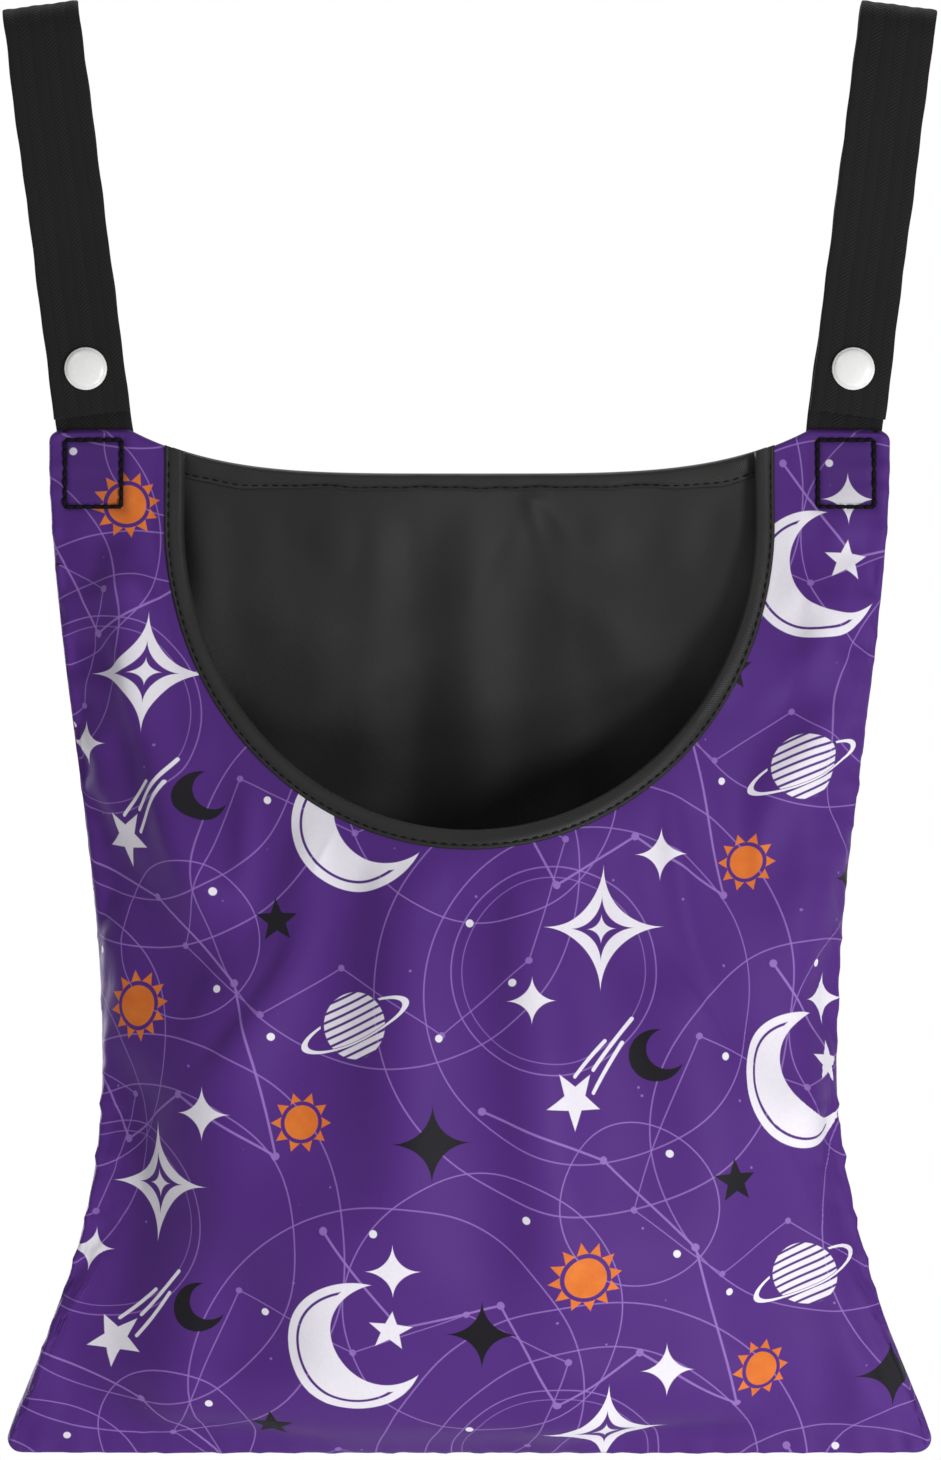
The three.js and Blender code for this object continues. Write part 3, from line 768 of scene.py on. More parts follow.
FRONT_FOLDS = [
    ((-0.6, 0.92), (0.6, 0.92), 20, 7.0),
    ((-0.3, 0.78), (0.3, 0.78), 34, 5.5),
    ((-0.38, 0.46), (-0.42, 0.68), 22, -4.5),
    ((0.33, 0.46), (0.41, 0.68), 22, -4.5),
    ((-0.02, 0.46), (0.03, 0.74), 15, -3.5),
    ((0.22, 0.6), (0.2, 0.94), 13, 2.0),
    ((0.6, 0.54), (0.6, 0.86), 14, 3.0),
    ((-0.62, 0.54), (-0.72, 0.93), 16, 3.0),
    ((-0.86, 0.08), (-0.7, 0.42), 12, 3.5),
    ((0.66, 0.26), (0.74, 0.56), 14, -3.5),
    ((0.84, 0.13), (0.9, 0.66), 12, 3.0),
    ((0.86, 0.66), (0.88, 0.95), 12, 3.0),
    ((-0.88, 0.66), (-0.88, 0.84), 13, -3.0),
]
FRONT_RIPPLES = [
    (-117, -38, -88, -146, 6.5, 6.2),
    (-101, -20, -97, -75, 5, -2.2),
    (-129, -60, -120, -165, 7, -2.0),
    (113, -45, 108, -230, 7, 1.6),
    (112, -225, 129, -325, 9, 2.4),
    (-70, -180, -96, -320, 10, 1.8),
    (-128, -245, -138, -315, 6, 2.2),
    (-110, -306, 105, -310, 7, 1.6),
]
front = Panel(-1, FRONT_BULGE, FRONT_FOLDS, FRONT_RIPPLES, (6, 7))
front_x, front_down, front_sewn = front_cut(FRONT_COLUMNS, FRONT_ROWS)
front.moved = fine_folds("front_panel", front, front_cut(140, 30)[:2], 0.03, 0.6, front_x.shape)


def front_surface(offset):
    """Points of the hung front panel, offset millimetres outwards from its inner face."""
    base = front.hung(front_x, front_down)
    from_mouth = np.linalg.norm(base - base[:, :1], axis=2)
    return hung_surface(front, front_x, front_down, base, from_mouth, offset)


front_middle = front_surface(PANEL_THICK / 2)
sewn_to = front.smooth(front_sewn[:, 0] * SEAM_WIDEN, front_sewn[:, 1] + SEAM_OUT)
sewn_to[:, 1] = -SEAM_OUT
roll = rolled(front_middle[:, -1], front_middle[:, -2], sewn_to)
front_middle = np.concatenate([front_middle, np.swapaxes(roll, 0, 1)], axis=1)
front_flat = spread_on(flat_cut(front, front_x, front_down), front_middle, 0, ROLL_ROWS, 1)
hems = []
for end, beside in ((0, 1), (-1, -2)):
    hem = turned_in(front_middle[end], -1, 1)
    hems.append(rolled(front_middle[end], front_middle[beside], hem, HEM_ROWS))
front_middle = np.concatenate([hems[0][::-1], front_middle, hems[1]])
front_flat = spread_on(front_flat, front_middle, HEM_ROWS, HEM_ROWS, 0)
front_panel = cloth_piece("front_panel_cloth", front_middle, PANEL_THICK, front_flat, -1)
print_finish = printed_cloth()
fixed(front_panel, print_finish, "bag", "printed_cloth", "front_panel")


# Back panel: the same printed polyester, cut without a mouth.
# Its sides and bottom roll into the same seam, and its top edge sags between the straps.

BACK_BULGE = 28.0
BACK_COLUMNS = 180
BACK_ROWS = 200
BACK_PRINT_SHIFT = (84.0, 35.0)
BACK_FOLDS = [
    ((-0.35, 0.19), (0.35, 0.19), 24, -3.0),
    ((-0.28, 0.36), (-0.32, 0.56), 19, -2.5),
    ((0.28, 0.36), (0.34, 0.56), 19, -2.5),
    ((-0.85, 0.25), (-0.64, 0.52), 13, 2.5),
    ((0.86, 0.22), (0.68, 0.5), 13, 2.5),
    ((-0.1, 0.8), (0.1, 0.8), 26, 2.5),
    ((-0.5, 0.92), (0.5, 0.92), 18, 3.5),
]
BACK_RIPPLES = [
    (-100, -40, -70, -190, 9, 1.2),
    (60, -160, 90, -300, 10, 1.6),
    (-60, -200, -100, -310, 10, 1.6),
    (126, -240, 50, -300, 10, -1.4),
]


def back_cut(columns, rows):
    """Rows run from edge to edge and bend round at the rounded corners."""
    share = np.linspace(0, 1, rows + 1)
    share = share - 0.36 * np.sin(2 * np.pi * share) / (2 * np.pi)
    over = np.linspace(-1, 1, columns + 1)[:, None]
    over = 0.72 * over + 0.28 * np.sin(over * np.pi / 2)
    top = SEAM_ROLL + corner_cut((1 - np.abs(over)) * TOP_HALF, TOP_CORNER)
    foot = BAG_HEIGHT - SEAM_ROLL - corner_cut((1 - np.abs(over)) * BOTTOM_HALF, BOTTOM_CORNER)
    down = top + (foot - top) * share
    return over * (seam_half_width(down) - SEAM_ROLL), down


back = Panel(1, BACK_BULGE, BACK_FOLDS, BACK_RIPPLES, (7, 16))
back_x, back_down = back_cut(BACK_COLUMNS, BACK_ROWS)
back_coarse = back_cut(60, 66)
back.moved = fine_folds("back_panel", back, back_coarse, 0.014, 0.5, back_x.shape)


def back_surface(offset):
    """Points of the hung back panel, offset millimetres outwards from its inner face."""
    return hung_surface(back, back_x, back_down, back.hung(back_x, back_down), back_down - 1, offset)


back_middle = back_surface(PANEL_THICK / 2)
back_flat = flat_cut(back, back_x, back_down) + BACK_PRINT_SHIFT
rolls = []
for end, beside, side in ((0, 1, -1), (-1, -2, 1)):
    sewn_to = back.smooth(side * (seam_half_width(back_down[0]) + SEAM_OUT), back_down[0])
    sewn_to[:, 1] = SEAM_OUT
    rolls.append(rolled(back_middle[end], back_middle[beside], sewn_to))
back_middle = np.concatenate([rolls[0][::-1], back_middle, rolls[1]])
back_flat = spread_on(back_flat, back_middle, ROLL_ROWS, ROLL_ROWS, 0)
foot = turned_in(back_middle[:, -1], 1, -1)
foot[:, 1] = SEAM_OUT
roll = rolled(back_middle[:, -1], back_middle[:, -2], foot)
brim = turned_in(back_middle[:, 0], 1, 1)
turn = rolled(back_middle[:, 0], back_middle[:, 1], brim, HEM_ROWS)
back_middle = np.concatenate([np.swapaxes(turn[::-1], 0, 1), back_middle, np.swapaxes(roll, 0, 1)], axis=1)
back_flat = spread_on(back_flat, back_middle, HEM_ROWS, ROLL_ROWS, 1)
back_panel = cloth_piece("back_panel_cloth", back_middle, PANEL_THICK, back_flat, 1)
fixed(back_panel, print_finish, "bag", "printed_cloth", "back_panel")


# Linings: thin black nylon behind each panel, caught in the same seams and under the same bindings.
# The back one shows through the mouth, hangs a little loose and puckers below its hem.

LINING_THICK = 0.5
LINING_MIDDLE = -0.55
LINING_SLACK = 2.2
LINING_CRUMPLES = [
    (-88, -30, -40, -66, 13, 2.2),
    (-70, -84, -14, -62, 12, 1.8),
    (-10, -34, 60, -40, 12, 1.6),
    (24, -22, 66, -78, 10, 1.4),
    (78, -24, 86, -80, 9, 1.8),
    (-20, -100, 40, -92, 13, 1.6),
]


def lining_nylon():
    finish = new_finish("lining_nylon")
    x, y, spot = on_map("flat_cut")
    # Broad lighter and darker patches of painted sheen and fold shade, mixed with a fine grain of the nylon.
    shade = drawn("MULTIPLY_ADD", mottle(spot, 75, 2), 2.6, -0.8, clamp=True)
    shade = shade * 0.8 + mottle(spot, 0.8, 2) * 0.2
    ground = laid_over((0.0050, 0.0050, 0.0052), (0.0250, 0.0247, 0.0250), shade)
    roughness = mottle(spot, 18, 3) * 0.14 + 0.42
    weave = plain_weave(x, y, 0.5) * 0.5 + mottle(spot, 6, 4) * 0.5
    plain = {"Specular IOR Level": 0.15, "Sheen Weight": 0.02}
    return finished(finish, ground, roughness, (weave, 0.0003, 0.35), plain)


def trimmed(grid, axis, first, last):
    """The same sheet cut shorter along one axis, by lengths in millimetres at its two ends."""
    lines = np.moveaxis(grid, axis, 0)
    share = np.linspace(0, 1, len(lines))
    cut = np.empty_like(lines)
    for i in range(lines.shape[1]):
        run = run_of(lines[:, i, :3])
        cut[:, i] = pick(lines[:, i], run, first + share * (run[-1] - first - last))
    return np.moveaxis(cut, 0, axis)


def lining_piece(name, points, flat, side, ends, sides):
    sheet = np.concatenate([points, flat], axis=2)
    sheet = trimmed(trimmed(sheet, 0, *ends), 1, *sides)
    return cloth_piece(name, sheet[..., :3], LINING_THICK, sheet[..., 3:], side)


lining_finish = lining_nylon()
slack = 0.35 + 0.35 * np.sin(front_x * 0.09 + front_down * 0.05) * np.sin(front_down * 0.07 - front_x * 0.03)
share = np.linspace(0, 1, FRONT_ROWS + 1)
points = front_surface(LINING_MIDDLE - slack * eased(share * 6) * eased((1 - share) * 6))
flat = flat_cut(front, front_x, front_down)
front_lining = lining_piece("front_lining_cloth", points, flat, -1, (2.0, 2.0), (0.0, 6.0))
fixed(front_lining, lining_finish, "bag", "lining", "front_lining")

inward = -fine_folds("back_lining", back, back_coarse, 0.05, 1.0, back_x.shape)
gather_x = back_x - 19.0
gather_down = back_down - 5.0
gather = np.exp(-((gather_x - 0.25 * gather_down) / 2.2) ** 2)
gather -= 0.8 * np.exp(-((gather_x + 0.3 * gather_down + 4) / 2.6) ** 2)
gather += 0.7 * np.exp(-((gather_x - 0.75 * gather_down - 2) / 2.4) ** 2)
gather *= 2.0 * eased(gather_down / 3) * np.exp(-np.clip(gather_down, 0, None) / 14.0)
by_edge = eased((back_down - 7) / 25) * eased((edge_half_width(back_down) - np.abs(back_x) - 3) / 25)
by_edge *= eased((BAG_HEIGHT - back_down - 3) / 25)
slack = LINING_SLACK * fold_ease(back_x, back_down)
crumples = ripples(back_x, -back_down, LINING_CRUMPLES)
loose_in = np.clip(slack + (0.4 * inward + crumples) * by_edge + gather, -0.1, None)
points = back_surface(LINING_MIDDLE - loose_in)
flat = flat_cut(back, back_x, back_down)
back_lining = lining_piece("back_lining_cloth", points, flat, 1, (6.0, 6.0), (1.0, 6.0))
fixed(back_lining, lining_finish, "bag", "lining", "back_lining")


# Mouth binding: black tape folded over the raw edge of the mouth, through panel and lining together.
# One row of stitches near its free edge holds both leaves down and draws a shallow ditch along it.

TAPE_START = -0.7
STITCH_PITCH = 3.3
STITCH_LENGTH = 2.6
STITCH_THREAD = 0.00042
STITCH_BACK = 5.2
tape_leaf = np.array([6.5, 6.35, 6.0, 5.6, 5.2, 4.8, 4.2, 3.4, 2.6, 1.8, 1.1, 0.6, 0.25, 0.05])
tape_lift = np.array([0.98, 1.45, 1.75, 1.72, 1.50, 1.72, 2.02, 2.12, 2.14, 2.10, 1.96, 1.62, 1.12, 0.55])
inside_lift = [-0.95, -0.98, -0.9, 0.95, 0.98, 0.97]


def capped(number):
    """Faces round a run of rings and over its two ends, from the numbers of their points."""
    after = np.roll(number, -1, axis=1)
    sides = np.stack([number[:-1], after[:-1], after[1:], number[1:]], axis=-1).reshape(-1, 4)
    return sides.tolist() + [number[0][::-1].tolist(), number[-1].tolist()]


def swept(name, rings, lengths, girth, map_name):
    """A closed band from rings of points along it, with (length along, way round) as its UV map."""
    stations, around = rings.shape[:2]
    faces = capped(np.arange(stations * around).reshape(stations, around))
    outward = rings[0, 0] - rings[0].mean(axis=0)
    if np.cross(rings[0, 1] - rings[0, 0], rings[1, 0] - rings[0, 0]) @ outward < 0:
        faces = [face[::-1] for face in faces]
    piece = new_piece(name, rings, faces)
    ways = np.append(girth, girth[-1] + np.linalg.norm(rings[0, 0] - rings[0, -1]) * 1000)
    spots = []
    for face in faces:
        wraps = len(face) == 4 and {n % around for n in face} == {0, around - 1}
        for n in face:
            way = ways[around] if wraps and n % around == 0 else ways[n % around]
            spots.append((lengths[n // around] / 1000, way / 1000))
    layer = piece.data.uv_layers.new(name=map_name)
    layer.data.foreach_set("uv", np.array(spots).ravel())
    piece.data.shade_smooth()
    piece.data.set_sharp_from_angle(angle=math.radians(50))
    return piece


def row_of_stitches(line, out, pitch, length, starts=None):
    """Stitch places along a line of points in millimetres, with the outward direction at each point."""
    run = run_of(line)
    if starts is None:
        starts = np.arange(pitch, run[-1] - pitch, pitch)
    begin = in_row(pick(line, run, starts))
    end = in_row(pick(line, run, starts + length))
    return list(zip(begin, end, pick(out, run, starts)))


def stitches(name, places, thread, ends=0.55, arched=1.3):
    """One mesh of short thread loops. Each place is (start, end, outward direction) in row metres."""
    start, end, out = (np.array(part)[:, None] for part in zip(*places))
    along = end - start
    aside = unit(np.cross(unit(along), out))
    lift = np.cross(aside, unit(along))
    bend = np.linspace(0, 1, 7)[:, None]
    arch = np.sin(np.pi * bend)
    centre = start + along * bend + lift * thread * (arched * (arch ** 0.6 - 1) + 0.55)
    thick = thread * (ends + (1 - ends) * arch[..., None] ** 0.5) / 2
    angle = 2 * np.pi * np.arange(8)[:, None] / 8
    points = centre[:, :, None] + thick * (aside * np.cos(angle) + lift * np.sin(angle))[:, None]
    faces = []
    for number in np.arange(points[..., 0].size).reshape(points.shape[:3]):
        faces += capped(number)
    piece = new_piece(name, points, faces)
    piece.data.shade_smooth()
    return piece


def folded_tape():
    finish = new_finish("folded_tape")
    along, across, spot = on_map("tape")
    rib = drawn("SINE", (along + across * 0.9) * (2 * math.pi / 0.9)) * 0.5 + 0.5
    shade = mottle(spot, 14, 3) * 0.7 + rib * 0.3
    ground = laid_over((0.0095, 0.0092, 0.0090), (0.0210, 0.0202, 0.0195), shade)
    roughness = mottle(spot, 9, 3) * 0.14 + 0.36
    ribbed = rib * 0.6 + mottle(spot, 2.5, 3) * 0.4
    plain = {"Specular IOR Level": 0.16, "Sheen Weight": 0.03}
    return finished(finish, ground, roughness, (ribbed, 0.0002, 0.45), plain)


def sewing_thread():
    finish = new_finish("sewing_thread")
    twist = mottle(shader("TexCoord").outputs["Object"], 1 / 2.6, 2)
    shade = laid_over((0.0035, 0.0032, 0.0042), (0.0085, 0.0080, 0.0095), twist)
    plain = {"Roughness": 0.7, "Specular IOR Level": 0.06}
    return finished(finish, shade, None, (twist, 0.0001, 0.5), plain)


def beside_mouth(back_from, start):
    """The panel's inner face along a line back from the mouth's edge, and the outward direction there."""
    x, down = mouth_line(back_from, start).T
    return front.hung(x, down), front.out(front.hung, x, down)


tape_a = np.concatenate([tape_leaf, [0.0], tape_leaf[::-1], [5.0, 2.5, 0.95, 0.95, 2.5, 5.0]])
tape_b = np.concatenate([tape_lift, [0.0], 0.1 - tape_lift[::-1], inside_lift])
tape_run = run_of(beside_mouth(0, TAPE_START)[0])
unsteady = 0.16 * np.sin(tape_run * 0.21 + np.sin(tape_run * 0.05)) + 0.1 * np.sin(tape_run * 0.53 + 1.0)
tape_rings = []
for a, b in zip(tape_a, tape_b):
    puff = 0.22 * unsteady * np.sign(b) * (np.abs(b) > 1.2)
    base, out = beside_mouth(a, TAPE_START)
    tape_rings.append(base + out * (b + puff)[:, None])
tape_rings = in_row(np.stack(tape_rings, axis=1))
tape_girth = run_of(np.stack([tape_a, tape_b], axis=1))
mouth_binding = swept("mouth_binding_tape", tape_rings, tape_run, tape_girth, "tape")
tape_finish = folded_tape()
thread_finish = sewing_thread()
fixed(mouth_binding, tape_finish, "bag", "binding_tape", "mouth_binding")

base, out = beside_mouth(STITCH_BACK, 1.0)
sewn_down = row_of_stitches(base + out * 1.5, out, STITCH_PITCH, STITCH_LENGTH)
sewn_down += row_of_stitches(base - out * 1.4, -out, STITCH_PITCH, STITCH_LENGTH)
mouth_stitches = stitches("mouth_binding_stitches", sewn_down, STITCH_THREAD)
fixed(mouth_stitches, thread_finish, "bag", "thread")


# Back edge binding: the same black tape folded over the sagging top edge of the back.
# It reads as a soft hem that widens towards both ends, where it runs in under the mouth binding.

EDGE_HALF = 97.5
EDGE_LEAF = 5.0
edge_x = np.linspace(-EDGE_HALF, EDGE_HALF, 230)
edge_flat = 1 - 0.3 * eased((np.abs(edge_x) - 88) / 6)
edge_wave = 0.25 * np.sin(edge_x * 0.17 + 0.8) + 0.2 * np.sin(edge_x * 0.41 + 2 * np.sin(edge_x * 0.05))
inner_leaf = 4.6 + 3.4 * eased((np.abs(edge_x) - 46) / 44) + edge_wave
outer_leaf = EDGE_LEAF + 0.5 * edge_wave
hem_share = np.array([1.0, 0.99, 0.95, 0.88, 0.8, 0.72, 0.6, 0.45, 0.3, 0.15, 0.04, -0.06, -0.14, -0.19])
hem_lift = np.array([0.98, 1.45, 1.78, 1.75, 1.52, 1.72, 1.98, 2.08, 2.08, 2.0, 1.86, 1.56, 1.05, 0.5])
edge_share = np.concatenate([hem_share, [-0.21], hem_share[::-1], [0.7, 0.3, 0.0, 0.0, 0.3, 0.7]])
edge_lift = np.concatenate([hem_lift, [0.05], 0.1 - hem_lift[::-1], inside_lift])
edge_rings = []
for share, lift in zip(edge_share, edge_lift):
    leaf = inner_leaf if lift < 0.2 else outer_leaf
    below = share * (leaf if share > 0 else np.full_like(edge_x, EDGE_LEAF))
    out = back.out(back.smooth, edge_x, np.maximum(below, 0.5))
    plump = 0.25 * edge_wave * np.sign(lift) * (abs(lift) > 1.2)
    edge_rings.append(back.smooth(edge_x, below) + out * ((lift + plump) * edge_flat)[:, None])
edge_rings = in_row(np.stack(edge_rings, axis=1))
edge_run = run_of(back.smooth(edge_x, 0 * edge_x))
edge_girth = run_of(np.stack([edge_share * EDGE_LEAF, edge_lift], axis=1))
edge_binding = swept("back_edge_tape", edge_rings, edge_run, edge_girth, "tape")
fixed(edge_binding, tape_finish, "bag", "binding_tape", "back_edge_binding")

sewn_down = []
for below, lift, way in ((0.8 * outer_leaf, 1.5, 1), (0.8 * inner_leaf, -1.42, -1)):
    out = back.out(back.smooth, edge_x, below)
    line = back.smooth(edge_x, below) + out * lift
    sewn_down += row_of_stitches(line, way * out, STITCH_PITCH, STITCH_LENGTH)
edge_stitches = stitches("back_edge_stitches", sewn_down, STITCH_THREAD)
fixed(edge_stitches, thread_finish, "bag", "thread")


# Hanging straps: black herringbone webbing, 25 mm wide, one length for each side.
# Its lower end is sewn between the panels; it stands up to the rail and folds over it to a tail in front.
# It is split where it bends in use.

SIDES = (("left", -1), ("right", 1))
STRAP_HALF = 12.5
STRAP_EDGE = 0.62
WEB_HALF = 0.75
WEB_EDGE_HALF = 0.70
WEB_RIBS = 6
RAIL_SPREAD = 140.0
SPLAY = math.atan(17.0 / RAIL_HEIGHT)
LOOP = 9.75
FOOT_LOW = -26.5
FOOT_HIGH = 16.0
TAIL_END = 5.0
LAYERS_PART = 36.0


def along_strap(above_bag):
    return (above_bag - RAIL_HEIGHT) / math.cos(SPLAY)


def strap_in_row(points, side):
    """A strap's own millimetres, with its origin on the rail's axis, turned into the row frame."""
    x, y, z = np.moveaxis(np.asarray(points, float), -1, 0)
    cosine = math.cos(side * SPLAY)
    sine = math.sin(side * SPLAY)
    row = [side * RAIL_SPREAD + x * cosine + z * sine, y, z * cosine - x * sine]
    return np.stack(row, axis=-1) / 1000


def layer_path(side, lowest, count):
    """Middle of an upright layer of webbing as (through, along), easing out to the side of the fold."""
    part = along_strap(LAYERS_PART)
    t = np.linspace(0, 1, 61)[:, None]
    near = np.array([side * LAYER, part])
    lean = np.array([side * LAYER, part / 2])
    out = np.array([side * LOOP, part / 2])
    top = np.array([side * LOOP, 0.0])
    curve = (1 - t) ** 3 * near + 3 * t * (1 - t) ** 2 * lean + 3 * t * t * (1 - t) * out + t ** 3 * top
    line = np.concatenate([[[side * LAYER, lowest]], curve])
    run = run_of(line)
    return pick(line, run, np.linspace(0, run[-1], count))


def fold_path(start, end):
    angle = np.radians(np.linspace(start, end, 16))
    return LOOP * np.stack([np.cos(angle), np.sin(angle)], axis=1)


edge_turn = np.radians(np.linspace(-80, 80, 9))
face_over = np.linspace(-1, 1, 27)[1:-1] * (STRAP_HALF - WEB_HALF)
brow = WEB_HALF * (1 - 0.10 * np.cos(face_over / STRAP_HALF * np.pi * WEB_RIBS))
right_x = STRAP_HALF - STRAP_EDGE + STRAP_EDGE * np.cos(edge_turn)
right_y = WEB_EDGE_HALF * np.sin(edge_turn)
strip_x = np.concatenate([face_over, right_x[::-1], face_over[::-1], -right_x])
strip_y = np.concatenate([brow, right_y[::-1], -brow[::-1], right_y])


def webbing_piece(name, path, start, side, skew, wave):
    """Webbing swept along a path through its thickness; start is the length already run, for the weave.
    Skew is how far aside its two ends lie, and wave is the height of the ripples across it."""
    ahead = unit(np.gradient(path, axis=0))
    face = np.stack([ahead[:, 1], -ahead[:, 0]], axis=1)[:, None]
    run = run_of(path) + start
    along = run[:, None]
    drift = side * np.linspace(*skew, len(path))[:, None]
    drift = drift + 0.12 * np.sin(along * 0.11) + 0.08 * np.sin(along * 0.37)
    ripple = wave * np.sin(strip_x * 0.55 + along * 0.16) * np.sin(along * 0.33)
    across = strip_x * (1 + 0.004 * np.sin(along * 0.19)) + drift
    through = path[:, None] + face * (strip_y + ripple)[..., None]
    rings = np.concatenate([across[..., None], through], axis=2)
    return swept(name, strap_in_row(rings, side), run, strip_x + STRAP_HALF, "webbing"), run[-1]


def herringbone_webbing():
    finish = new_finish("herringbone_webbing")
    along, across, spot = on_map("webbing")
    wide = 2 * STRAP_HALF
    rib = wide / WEB_RIBS
    column = drawn("FLOOR", across / rib)
    lean = drawn("FLOORED_MODULO", column, 2.0) * 2 - 1
    local = across - column * rib
    slant = along / 1.25 + lean * (local * 0.62)
    pick_thread = drawn("PINGPONG", slant, 0.5) * 2
    float_thread = drawn("SMOOTH_MAX", pick_thread - 0.25, 0.0, 0.1)
    gutter = drawn("MULTIPLY", drawn("MINIMUM", local, rib - local), 2.2, clamp=True)
    selvedge = drawn("MINIMUM", across, wide - across)
    cord = drawn("MULTIPLY_ADD", selvedge, 1.0, -0.4, clamp=True)
    height = float_thread * gutter * (cord * 0.6 + 0.4)
    fuzz = mottle(spot, 0.5, 3)
    shade = height * 0.75 + fuzz * 0.25
    ground = laid_over((0.0055, 0.0055, 0.0056), (0.0200, 0.0198, 0.0200), shade)
    ground = laid_over(ground, (0.0240, 0.0236, 0.0236), mottle(spot, 30, 2) * 0.22)
    plain = {"Specular IOR Level": 0.09, "Sheen Weight": 0.02, "Sheen Roughness": 0.5}
    bump = (height * 0.8 + fuzz * 0.2, 0.0004, 0.6)
    return finished(finish, ground, fuzz * 0.2 + 0.62, bump, plain)


webbing_finish = herringbone_webbing()
foot_rise = np.linspace(along_strap(FOOT_LOW), along_strap(FOOT_HIGH), 30)
foot_path = np.stack([np.full_like(foot_rise, LAYER), foot_rise], axis=1)
lengths_of_webbing = (
    ("_strap_foot", foot_path, (0, 0), 0.0),
    ("_strap_standing", layer_path(1, along_strap(FOOT_HIGH), 70), (0, 0), 0.0),
    ("_fold_back", fold_path(0, 90), (0, -0.45), 0.10),
    ("_fold_front", fold_path(90, 180), (-0.45, -0.9), 0.10),
    ("_tail_webbing", layer_path(-1, along_strap(TAIL_END), 90)[::-1], (-0.9, 0.15), 0.0),
)
for label, side in SIDES:
    made = []
    run = 0.0
    for name, path, skew, wave in lengths_of_webbing:
        piece, run = webbing_piece(label + name, path, run, side, skew, wave)
        piece.data.materials.append(webbing_finish)
        made.append(piece)
    low, standing, back_fold, front_fold, tail = made
    foot = side * 0.1235
    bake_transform(low)
    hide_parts(label + "_sewn_end")
    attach(standing, "straps")
    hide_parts(label + "_strap")
    body = label + "_tail"
    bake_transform(back_fold)
    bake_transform(front_fold)
    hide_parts(label + "_fold")
    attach(tail, body)
    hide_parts(label + "_tail")


# Box stitches: a square of black thread through the panels and each strap end.
# The thread shows on the front and on the back, pulled down into the cloth.

BOX_STITCH = 3.0
BOX_THREAD = 0.0014
BOX_SUNK = 0.50
STITCH_OVERLAP = 0.35

for label, side in SIDES:
    places = []
    for panel in (front, back):
        corners = np.array([[-1, BOX_TOP], [1, BOX_TOP], [1, BOX_BOTTOM], [-1, BOX_BOTTOM], [-1, BOX_TOP]])
        corners[:, 0] = side * STRAP_SIDE + corners[:, 0] * BOX_HALF
        for first, second in zip(corners[:-1], corners[1:]):
            x, z = (first + (second - first) * np.linspace(0, 1, 30)[:, None]).T
            below = down_at(x, z)
            out = panel.out(panel.smooth, x, below)
            line = panel.smooth(x, below) + out * (PANEL_THICK - BOX_SUNK)
            size = np.linalg.norm(second - first)
            pitch = size / round(size / BOX_STITCH)
            starts = np.arange(0, size - 0.5, pitch)
            places += row_of_stitches(line, out, pitch, pitch + STITCH_OVERLAP, starts)
    box = stitches(label + "_box_thread", places, BOX_THREAD, 0.85, 0.75)
    fixed(box, thread_finish, "bag", "thread", label + "_box_stitch")


# Press snaps: white moulded plastic. A domed cap and a socket are fixed through each tail,
# a stud and a second cap through the standing length; the stud's ball presses into the socket.

SNAP_ABOVE_BAG = 20.0
CAP_TIP = 0.85
STUD = [[1.5, -0.25], [1.95, -0.25], [2.4, 0.3], [1.95, 0.85], [5.0, 0.85], [5.0, 1.65], [1.5, 1.65]]
SOCKET = [[1.5, -1.65], [5.0, -1.65], [5.0, 0.55], [2.7, 0.55], [2.7, -0.85], [1.5, -0.85]]
CAP_RIM = [[0.05, CAP_TIP], [1.2, CAP_TIP], [1.2, 3.72], [6.3, 3.50], [7.0, 3.75], [7.0, 4.40]]
CAP_RIM += [[6.55, 4.75], [6.35, 4.78]]


def snap_plastic():
    finish = new_finish("snap_plastic")
    cloud = mottle(shader("TexCoord").outputs["Object"], 1 / 0.26, 4)
    ground = laid_over((0.78, 0.78, 0.77), (0.82, 0.82, 0.81), cloud)
    plain = {"Subsurface Weight": 0.08, "Subsurface Radius": (0.002, 0.002, 0.002)}
    plain.update({"Coat Weight": 0.25, "Coat Roughness": 0.12})
    return finished(finish, ground, cloud * 0.06 + 0.24, (cloud, 0.00006, 0.35), plain)


def rounded(profile, radius=0.16, steps=4):
    """A turned profile with its corners eased, as moulded plastic has them."""
    profile = np.asarray(profile, float)
    line = [profile[0]]
    for before, corner, after in zip(profile[:-2], profile[1:-1], profile[2:]):
        back_way = before - corner
        on_way = after - corner
        room = min(radius, 0.45 * np.linalg.norm(back_way), 0.45 * np.linalg.norm(on_way))
        first = corner + unit(back_way) * room
        last = corner + unit(on_way) * room
        line += [bent(first, corner, last, share) for share in np.linspace(0, 1, steps)]
    return np.array(line + [profile[-1]])


def turned_piece(name, profile, side, closed, flip=1):
    """A piece turned about the snap's axis, from (radius, depth) points; flip -1 faces it forwards."""
    angle = np.linspace(0, 2 * np.pi, 72, endpoint=False)
    x = profile[:, 0, None] * np.cos(angle)
    z = profile[:, 0, None] * np.sin(angle) + along_strap(SNAP_ABOVE_BAG)
    y = np.broadcast_to(flip * profile[:, 1, None], x.shape)
    number = np.arange(x.size).reshape(x.shape)
    faces = capped(np.concatenate([number, number[:1]]))[:-2] if closed else capped(number)
    if flip < 0:
        faces = [face[::-1] for face in faces]
    piece = new_piece(name, strap_in_row(np.stack([x, y, z], axis=-1), side), faces)
    piece.data.validate()
    piece.data.shade_smooth()
    piece.data.set_sharp_from_angle(angle=math.radians(60))
    return piece


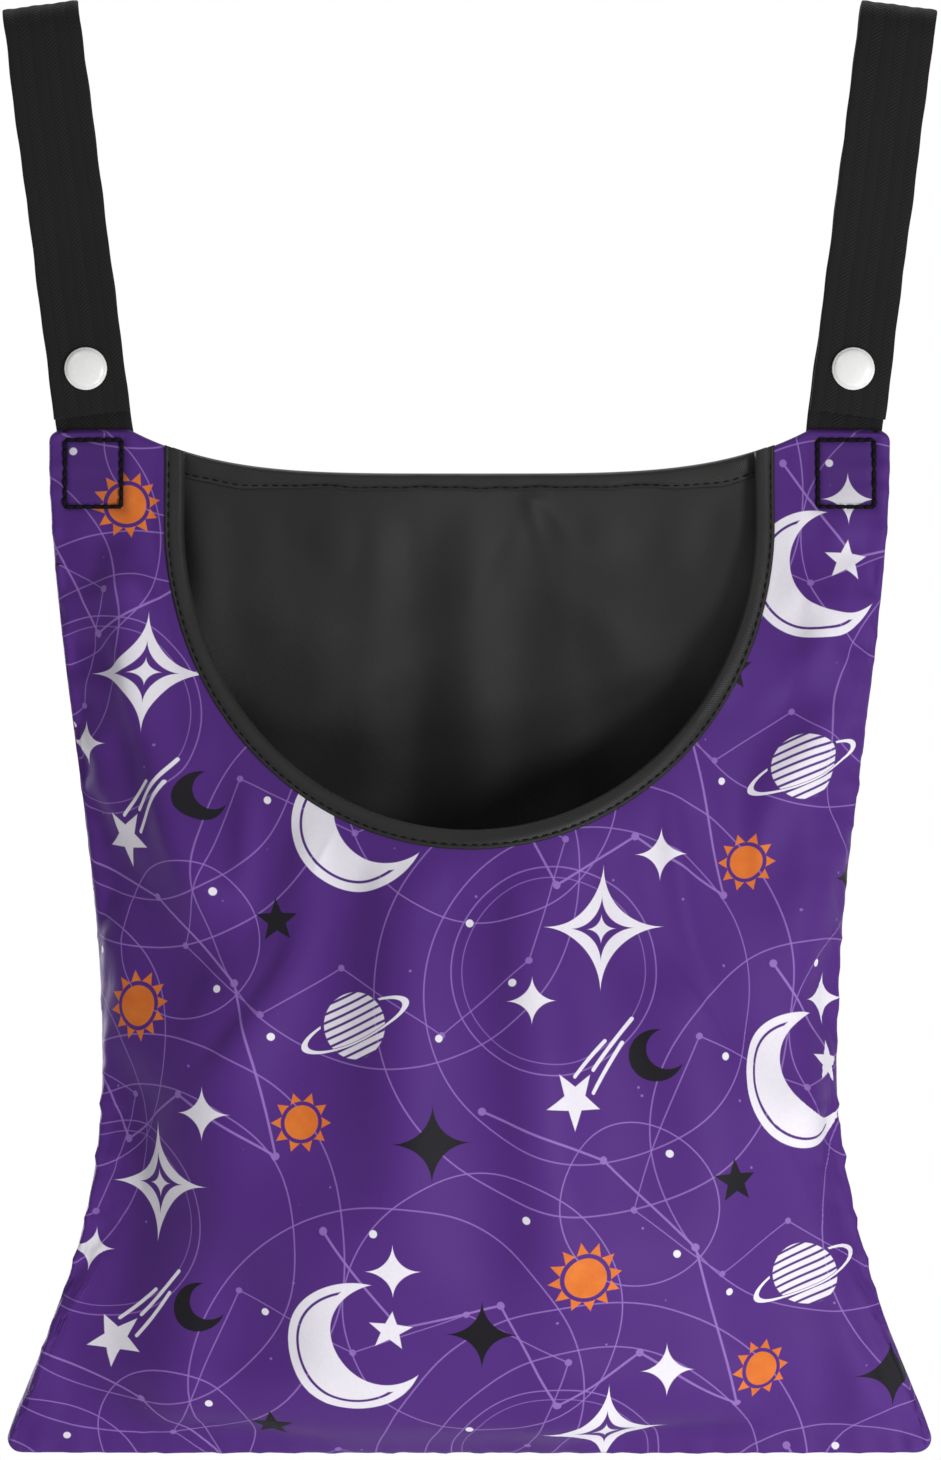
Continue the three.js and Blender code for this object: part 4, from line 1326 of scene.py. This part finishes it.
crown_turn = np.radians(np.linspace(6, 89.5, 18))
crown = np.stack([6.35 * np.cos(crown_turn), 4.75 + 1.40 * np.sin(crown_turn)], axis=1)
cap_profile = np.concatenate([rounded(CAP_RIM, 0.35, 5), crown])
snap_finish = snap_plastic()
for label, side in SIDES:
    front_cap = turned_piece(label + "_front_cap", cap_profile, side, False, -1)
    back_cap = turned_piece(label + "_back_cap", cap_profile, side, False)
    stud = turned_piece(label + "_stud", rounded(STUD), side, True)
    socket = turned_piece(label + "_socket", rounded(SOCKET), side, True)
    fixed(front_cap, snap_finish, label + "_tail", "snap_plastic", label + "_snap_cap")
    fixed(socket, snap_finish, label + "_tail", "snap_plastic", label + "_snap_socket")
    fixed(stud, snap_finish, "straps", "snap_plastic", label + "_snap_stud")
    fixed(back_cap, snap_finish, "straps", "snap_plastic", label + "_stud_cap")


# Stage: a plain pale floor well below the hanging bag, soft light from both sides and above,
# a white surround, and the camera straight in front at the photograph's distance.

FLOOR_HALF = 1.6
FLOOR_LEVEL = -0.90
LAMPS = [
    ("key_light", (1.05, -1.32, -0.32), (0, 0, -0.28), 0.4, 13.0),
    ("fill_light", (-0.9, -1.4, 0.85), (0, 0, -0.2), 0.9, 5.4),
    ("low_light", (0.45, -0.75, -0.78), (0.05, 0, -0.44), 0.2, 3.1),
    ("top_light", (0.1, 0.7, 1.2), (0, 0, -0.2), 1.0, 8.0),
    ("back_light", (-1.1, 1.3, -0.10), (0, 0, -0.28), 0.9, 18.0),
]
SOFT_LIGHT = 0.14
CAMERA_PLACE = (0.000328, -1.9954, -0.2273)


def mixed(share, first, second, output):
    """Shows the first shader where the share is 0 and the second where it is 1."""
    mix = shader("MixShader")
    for out, slot in zip((share.socket, first.outputs[0], second.outputs[0]), mix.inputs):
        wire(out, slot)
    wire(mix.outputs[0], Drawn.tree.nodes[output].inputs[0])


corners = FLOOR_HALF * np.array([(-1, -1, 0), (1, -1, 0), (1, 1, 0), (-1, 1, 0)])
floor = new_piece("floor", corners + (0, 0, FLOOR_LEVEL), [[0, 1, 2, 3]])
floor.data.materials.append(new_finish("pale_floor"))
pale = Drawn.tree.nodes["Principled BSDF"]
pale.inputs["Base Color"].default_value = (0.92, 0.92, 0.92, 1)
pale.inputs["Roughness"].default_value = 0.9
parts = shader("SeparateXYZ")
wire(shader("TexCoord").outputs["Object"], parts.inputs[0])
away = span(Drawn(parts.outputs[0]), Drawn(parts.outputs[1]))
fade = drawn("MULTIPLY_ADD", away, 1.6, -0.5, clamp=True)
mixed(fade, pale, shader("Emission"), "Material Output")

for name, place, aim, wide, power in LAMPS:
    light = bpy.data.lights.new(name, "AREA")
    light.shape = "DISK"
    light.size = wide
    light.energy = power
    lamp = bpy.data.objects.new(name, light)
    lamp.location = place
    ahead = Vector(aim) - Vector(place)
    lamp.rotation_euler = ahead.to_track_quat("-Z", "Y").to_euler()
    bpy.context.scene.collection.objects.link(lamp)

surround = bpy.data.worlds.new("surround")
surround.use_nodes = True
bpy.context.scene.world = surround
Drawn.tree = surround.node_tree
soft = Drawn.tree.nodes["Background"]
white = shader("Background")
for air, strength in ((soft, SOFT_LIGHT), (white, 1.0)):
    air.inputs["Color"].default_value = (1, 1, 1, 1)
    air.inputs["Strength"].default_value = strength
rays = shader("LightPath")
seen = Drawn(rays.outputs["Is Camera Ray"])
for ray in ("Is Glossy Ray", "Is Transmission Ray"):
    seen = drawn("MAXIMUM", seen, Drawn(rays.outputs[ray]))
mixed(seen, soft, white, "World Output")

lens = bpy.data.cameras.new("camera")
lens.sensor_fit = "VERTICAL"
lens.sensor_height = 36.0
lens.lens = 150.0
lens.clip_end = 20.0
camera = bpy.data.objects.new("camera", lens)
camera.location = CAMERA_PLACE
camera.rotation_euler = (math.pi / 2, 0, 0)
bpy.context.scene.collection.objects.link(camera)
bpy.context.scene.camera = camera
bpy.context.scene.view_settings.view_transform = "Standard"
